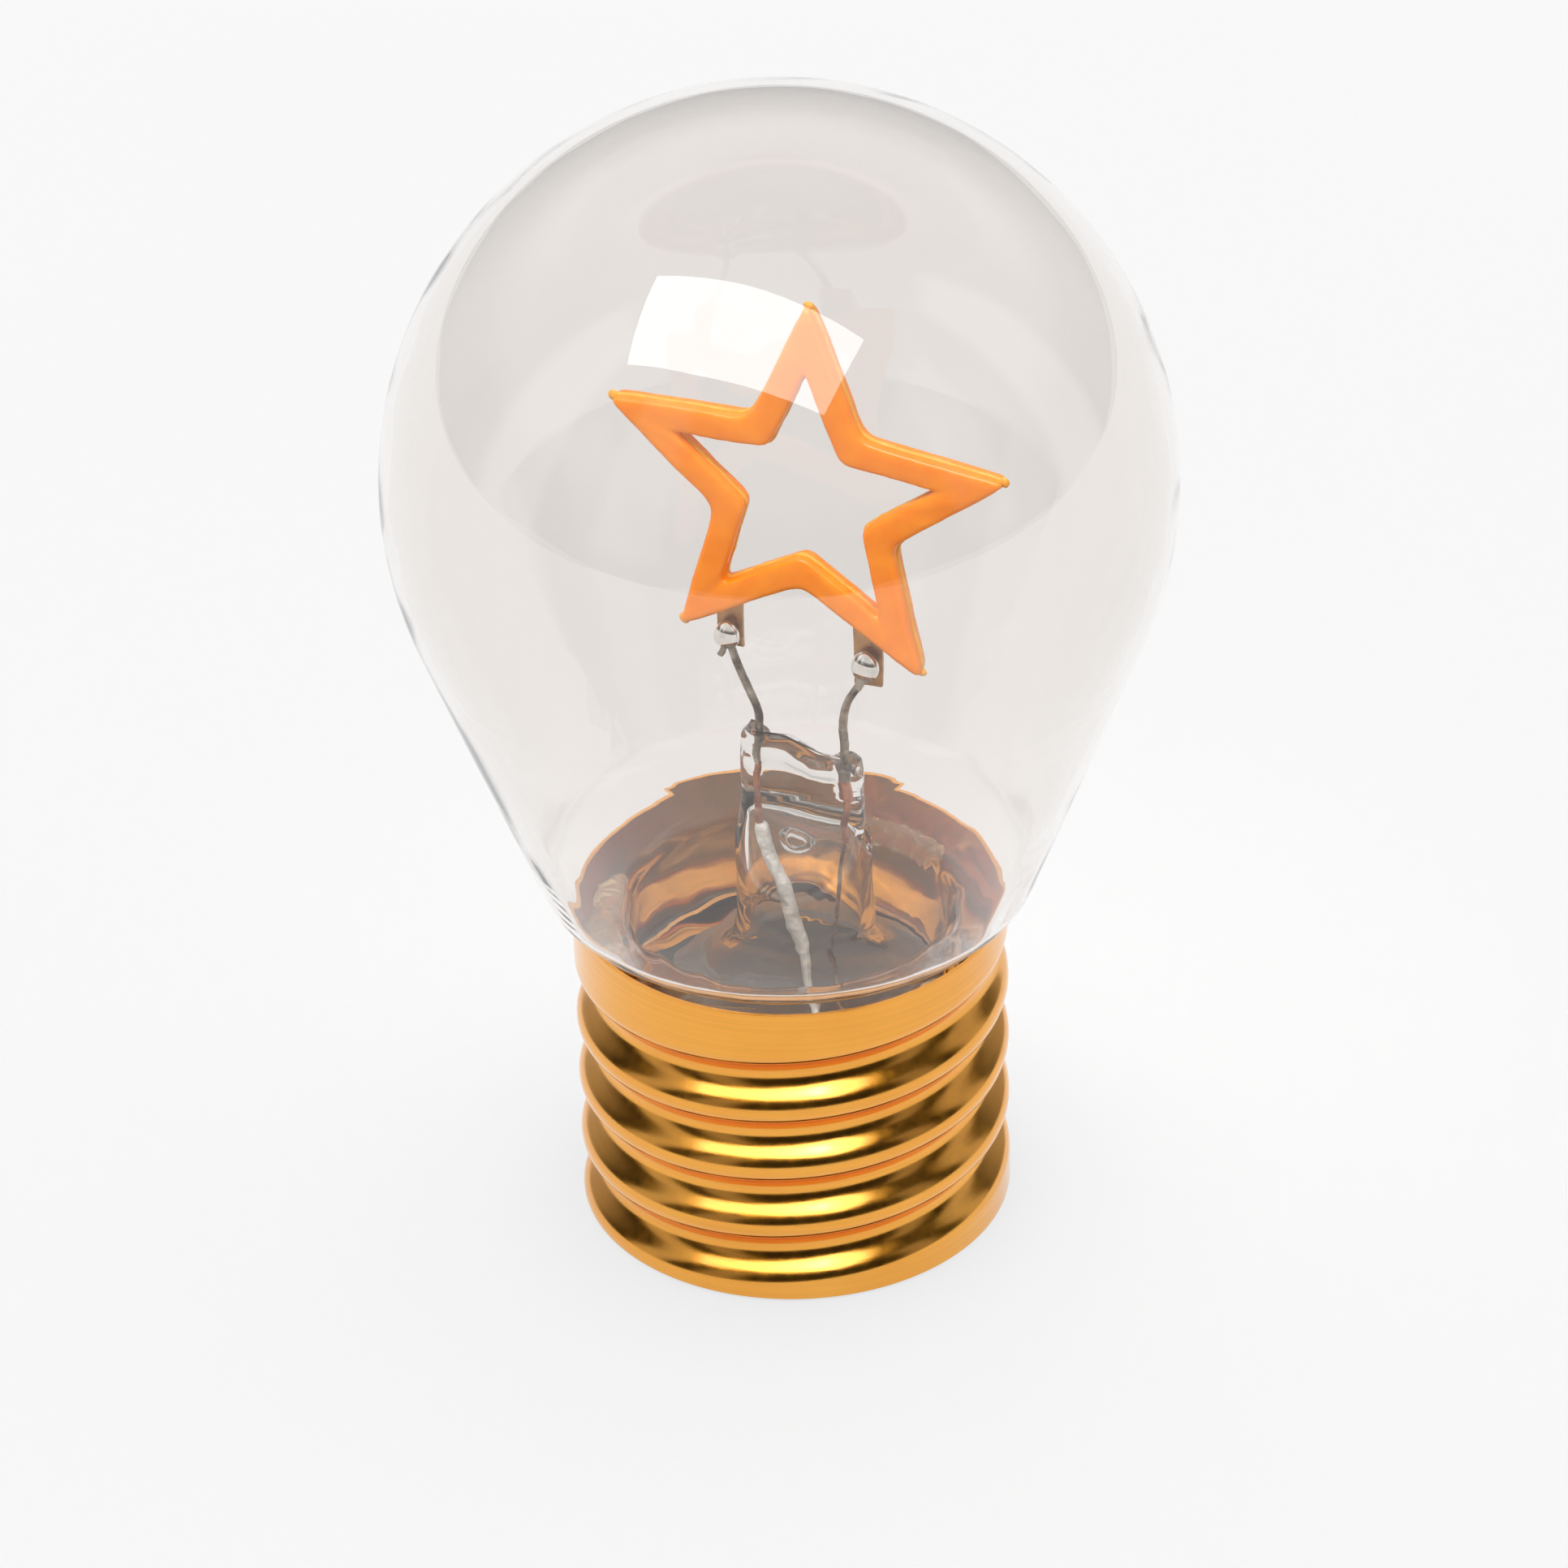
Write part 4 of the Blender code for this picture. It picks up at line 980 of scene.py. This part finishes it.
def make_solder():
    """Egg-shaped blobs that wet the tab, each with the clipped end of its lead."""
    for name, side, solder_z in (("left", -1, SOLDER_Z[0]), ("right", 1, SOLDER_Z[1])):
        work = bmesh.new()
        bmesh.ops.create_icosphere(work, subdivisions=4, radius=SOLDER_RADIUS)
        for vert in work.verts:
            x, y, z = vert.co
            narrow = 1 - 0.16 * z / SOLDER_RADIUS
            lump = 1.08 + 0.05 * drift(vert.co, 700, side * 2.0)
            vert.co = Vector((x * narrow * lump * 0.93, y * 0.66 * lump, z * 1.02 * lump))
        mesh = to_mesh(f"blob_{name}", work)
        y = -SUBSTRATE_HALF - 0.6 * SOLDER_RADIUS
        mesh.transform(STEM @ Matrix.Translation((side * TAB_X, y, solder_z)))
        add(f"blob_{name}", mesh, "solder", stands_for=[f"solder_{name}"], sharp=75)
        stub = on_stem(
            [
                (side * TAB_X - 0.05 * MM, y - 0.15 * MM, solder_z - 0.5 * MM),
                (side * TAB_X - 0.18 * MM, y - 0.25 * MM, solder_z - 1.2 * MM),
                (side * TAB_X - 0.42 * MM, y - 0.30 * MM, solder_z - 1.75 * MM),
            ]
        )
        section = round_section(LEAD_STUB_RADIUS, 12, 0.2, side)
        mesh = swept(f"lead_end_{name}", smooth_path(stub, 6), section)
        add(f"lead_end_{name}", mesh, "nickel", sharp=60)


# ---- glue ----


def make_glue():
    """Uneven dabs of glue between the neck and the shell, and one drawn hair of it."""
    middle = (NECK_RADIUS + CREST_RADIUS - SHELL_WALL) / 2
    up = Vector((0, 0, 1))
    for number, start in enumerate(GLUE_STARTS, start=1):
        circle = arc((0, 0), middle, start, start + GLUE_SWEEP, 40)
        points = [Vector((x, y, GLUE_Z)) for x, y in circle]
        section = round_section(GLUE_RADIUS, 18, 0.45, number * 3.0)
        mesh = swept(f"glue_{number}", points, section, up=up)
        stands_for = [f"glue_dab_{number}"]
        obj = add(
            f"glue_{number}", mesh, "glue", stands_for=stands_for, sharp=75
        )
        obj.visible_shadow = False
    ends = []
    for reach, turn, depth in (
        (CREST_RADIUS - SHELL_WALL - 0.1 * MM, radians(-118), 0.15 * MM),
        (15.0 * MM, radians(-101), 0.7 * MM),
    ):
        ends.append(Vector((reach * cos(turn), reach * sin(turn), RIM_Z - depth)))
    sag = (ends[0] + ends[1]) / 2 - up * 0.1 * MM
    hair = smooth_path([ends[0], sag, ends[1]], 8)
    mesh = swept("glue_hair", hair, round_section(GLUE_HAIR_RADIUS, 8, 0.3), up=up)
    add("glue_hair", mesh, "glue", sharp=75)


# ---- kept CAD nodes ----

KEPT = {  # look, and how far the edges are rounded in millimetres
    "star_substrate": ("star_metal", 0.03),
    "deck_cover": ("deck", 0.12),
    "base_tray": ("plastic", 0.12),
    "battery_door": ("plastic", 0.12),
    "deck_screw_left": ("steel", 0.08),
    "deck_screw_right": ("steel", 0.08),
    "door_screw": ("steel", 0.08),
    "switch_body": ("steel", 0.12),
    "switch_slider": ("knob", 0.12),
    "cell_1": ("cell", 0.22),
    "cell_2": ("cell", 0.22),
    "cell_3": ("cell", 0.22),
    "positive_contact": ("steel", 0.06),
    "negative_contact": ("steel", 0.06),
    "contact_spring": ("steel", 0.0),
    "circuit_board": ("board", 0.06),
    "chip_resistor": ("ceramic", 0.06),
    "battery_wire_positive": ("red", 0.0),
    "battery_wire_negative": ("black", 0.0),
}


def dress_kept_nodes():
    """Gives the nodes that stay as they are their materials and soft edges."""
    for name, (look, rounding) in KEPT.items():
        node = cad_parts[name]
        for slot in node.material_slots:
            slot.material = LOOKS[look]
        if rounding:
            bevel = node.modifiers.new("soft_edges", "BEVEL")
            bevel.width = rounding * MM
            bevel.segments = 3
            bevel.limit_method = "ANGLE"
            bevel.angle_limit = radians(40)
            bevel.use_clamp_overlap = True
            bevel.harden_normals = False


# ---- studio ----

CAMERA_ELEVATION = radians(34.0)
CAMERA_ROLL = radians(-1.46)
CAMERA_DISTANCE = 600 * MM
CAMERA_LENS = 177.684  # in millimetres, on a 36 mm sensor
CAMERA_TILT = radians(0.8376)
CAMERA_PAN = radians(0.04386)
AIM_BELOW_RIM = 0.5 * MM
PALE = 0.939  # how bright the background is
FLOOR_RADIUS = 1.2
SOFTBOX_DISTANCE = 3.0
SOFTBOX_DIRECTION = Vector((-0.146, -0.304, 0.943)).normalized()
SOFTBOX = (  # name, size, how much nearer it hangs, brightness, whether it lights the glass bulb
    ("softbox_on_glass", (3.33, 1.50), 0.0, 6.5, True),
    ("softbox", (3.33, 1.50), 0.01, 3.2, False),
    ("softbox_core", (1.7, 0.28), 0.02, 22.0, False),
)


def make_camera():
    """A long lens that looks down at the rim, turned so that the lamp stands in the frame."""
    back = Vector((0, -cos(CAMERA_ELEVATION), sin(CAMERA_ELEVATION)))
    right = Vector((1, 0, 0))
    up = Vector((0, sin(CAMERA_ELEVATION), cos(CAMERA_ELEVATION)))
    rolled_right = right * cos(CAMERA_ROLL) + up * sin(CAMERA_ROLL)
    rolled_up = up * cos(CAMERA_ROLL) - right * sin(CAMERA_ROLL)
    place = Vector((0, 0, RIM_Z - AIM_BELOW_RIM)) + back * CAMERA_DISTANCE
    aim = Matrix((rolled_right, rolled_up, back)).transposed()
    tilt = Matrix.Rotation(CAMERA_TILT, 3, "X")
    pan = Matrix.Rotation(CAMERA_PAN, 3, "Y")
    data = bpy.data.cameras.new("camera")
    data.sensor_width = 36
    data.lens = CAMERA_LENS
    data.clip_start = 0.01
    data.clip_end = 50
    camera = bpy.data.objects.new("camera", data)
    camera.matrix_world = Matrix.Translation(place) @ (aim @ tilt @ pan).to_4x4()
    bpy.context.scene.collection.objects.link(camera)
    bpy.context.scene.camera = camera


def make_floor():
    mesh = revolved("floor", [(0, 0), (0.2, 0), (0.6, 0), (FLOOR_RADIUS, 0)], 96)
    mesh.materials.append(LOOKS["floor"])
    table = bpy.data.objects.new("floor", mesh)
    bpy.context.scene.collection.objects.link(table)
    table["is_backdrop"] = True


def make_softbox():
    """A soft light overhead, brighter in its middle, that leaves the floor to its own light."""
    for name, size, nearer, brightness, on_glass in SOFTBOX:
        lit = bpy.data.collections.new(f"lit_by_{name}")
        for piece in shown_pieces():
            if (piece.name == "envelope") == on_glass:
                lit.objects.link(piece)
        data = bpy.data.lights.new(name, "AREA")
        data.shape = "RECTANGLE"
        data.size, data.size_y = size
        data.energy = brightness * pi * size[0] * size[1]
        light = bpy.data.objects.new(name, data)
        away = SOFTBOX_DIRECTION * (SOFTBOX_DISTANCE - nearer)
        light.location = away + Vector((0, 0, BULB_CENTRE_Z))
        light.rotation_euler = SOFTBOX_DIRECTION.to_track_quat("Z", "Y").to_euler()
        light.visible_camera = False
        light.visible_transmission = False
        bpy.context.scene.collection.objects.link(light)
        light.light_linking.receiver_collection = lit


class Sky:
    """Builds the studio's surroundings from the direction that is looked in."""

    def __init__(self):
        world = bpy.data.worlds.new("studio")
        bpy.context.scene.world = world
        world.use_nodes = True
        world.cycles.sampling_method = "NONE"
        self.tree = world.node_tree
        self.tree.nodes.clear()
        self.new = self.tree.nodes.new
        split = self.new("ShaderNodeSeparateXYZ")
        self.tree.links.new(self.new("ShaderNodeTexCoord").outputs["Generated"], split.inputs[0])
        self.x, self.y, self.z = split.outputs

    def math(self, operation, first, second=0.0):
        """A math node. Each value is a number or another node's output."""
        node = self.new("ShaderNodeMath")
        node.operation = operation
        for socket, value in zip(node.inputs, (first, second)):
            if isinstance(value, (int, float)):
                socket.default_value = value
            else:
                self.tree.links.new(value, socket)
        return node.outputs[0]

    def fade(self, value, low, high):
        """0 below low, 1 above high, and smooth between them."""
        node = self.new("ShaderNodeMapRange")
        node.interpolation_type = "SMOOTHSTEP"
        node.inputs["From Min"].default_value = low
        node.inputs["From Max"].default_value = high
        self.tree.links.new(value, node.inputs["Value"])
        return node.outputs[0]

    def strip(self, middle, half, soft, low, high):
        """A tall soft strip of light, in degrees of azimuth from the front and of height."""
        azimuth = self.math("ARCTAN2", self.x, self.math("MULTIPLY", self.y, -1.0))
        off = self.math("ABSOLUTE", self.math("SUBTRACT", azimuth, radians(middle)))
        inside = self.math("SUBTRACT", 1.0, self.fade(off, radians(half), radians(half + soft)))
        above = self.fade(self.z, sin(radians(low - 4)), sin(radians(low + 4)))
        past = self.fade(self.z, sin(radians(high - 8)), sin(radians(high)))
        height = self.math("MULTIPLY", above, self.math("SUBTRACT", 1.0, past))
        return self.math("MULTIPLY", inside, height)


STRIPS = (  # azimuth, half width, softness, lowest, highest, brightness
    (-84, 8, 6, -6, 58, 0.70),
    (-44, 7, 6, 2, 52, 0.42),
    (61, 6, 6, 0, 52, 0.42),
    (98, 7, 6, -6, 58, 0.70),
)
STUDIO_DARK = 0.03
STUDIO_BACK = 0.50
INSIDE_SKY = 0.95  # what the metal inside the base mirrors through the glass
AMBIENT = 1.04  # what lights the floor and every matt surface


def make_world():
    """A plain pale room to look at and be lit by, and a darker studio with strips to mirror."""
    sky = Sky()
    behind = sky.math("MULTIPLY", sky.fade(sky.y, 0.25, 0.75), STUDIO_BACK)
    total = sky.math("ADD", STUDIO_DARK, behind)
    for *shape, value in STRIPS:
        total = sky.math("ADD", total, sky.math("MULTIPLY", sky.strip(*shape), value))
    path = sky.new("ShaderNodeLightPath")
    soft = sky.math("GREATER_THAN", path.outputs["Diffuse Depth"], 0.5)
    shiny = sky.math("GREATER_THAN", path.outputs["Glossy Depth"], 0.5)
    mirrored = sky.math("MULTIPLY", shiny, sky.math("SUBTRACT", 1.0, soft))
    seen = sky.math("SUBTRACT", 1.0, sky.math("MAXIMUM", soft, shiny))
    inside = sky.math("GREATER_THAN", path.outputs["Transmission Depth"], 0.5)
    overhead = sky.math("MULTIPLY", sky.fade(sky.z, 0.15, 0.45), INSIDE_SKY)
    total = sky.math("ADD", total, sky.math("MULTIPLY", inside, overhead))
    plain = sky.math("MULTIPLY", seen, PALE)
    strength = sky.math("ADD", plain, sky.math("MULTIPLY", soft, AMBIENT))
    strength = sky.math("ADD", strength, sky.math("MULTIPLY", mirrored, total))
    background = sky.new("ShaderNodeBackground")
    sky.tree.links.new(strength, background.inputs["Strength"])
    output = sky.new("ShaderNodeOutputWorld")
    sky.tree.links.new(background.outputs[0], output.inputs["Surface"])


def set_render():
    scene = bpy.context.scene
    scene.view_settings.view_transform = "Standard"
    scene.view_settings.look = "None"
    cycles = scene.cycles
    cycles.max_bounces = 26
    cycles.transmission_bounces = 22
    cycles.glossy_bounces = 10
    cycles.diffuse_bounces = 4
    cycles.transparent_max_bounces = 16
    cycles.caustics_reflective = False
    cycles.caustics_refractive = True
    cycles.blur_glossy = 0.6
    cycles.sample_clamp_indirect = 6.0
    cycles.use_denoising = True


make_envelope()
make_shell()
make_stem()
make_bead()
make_leads()
make_lower_leads()
make_star()
make_solder()
make_glue()
dress_kept_nodes()
make_camera()
make_floor()
make_softbox()
make_world()
set_render()
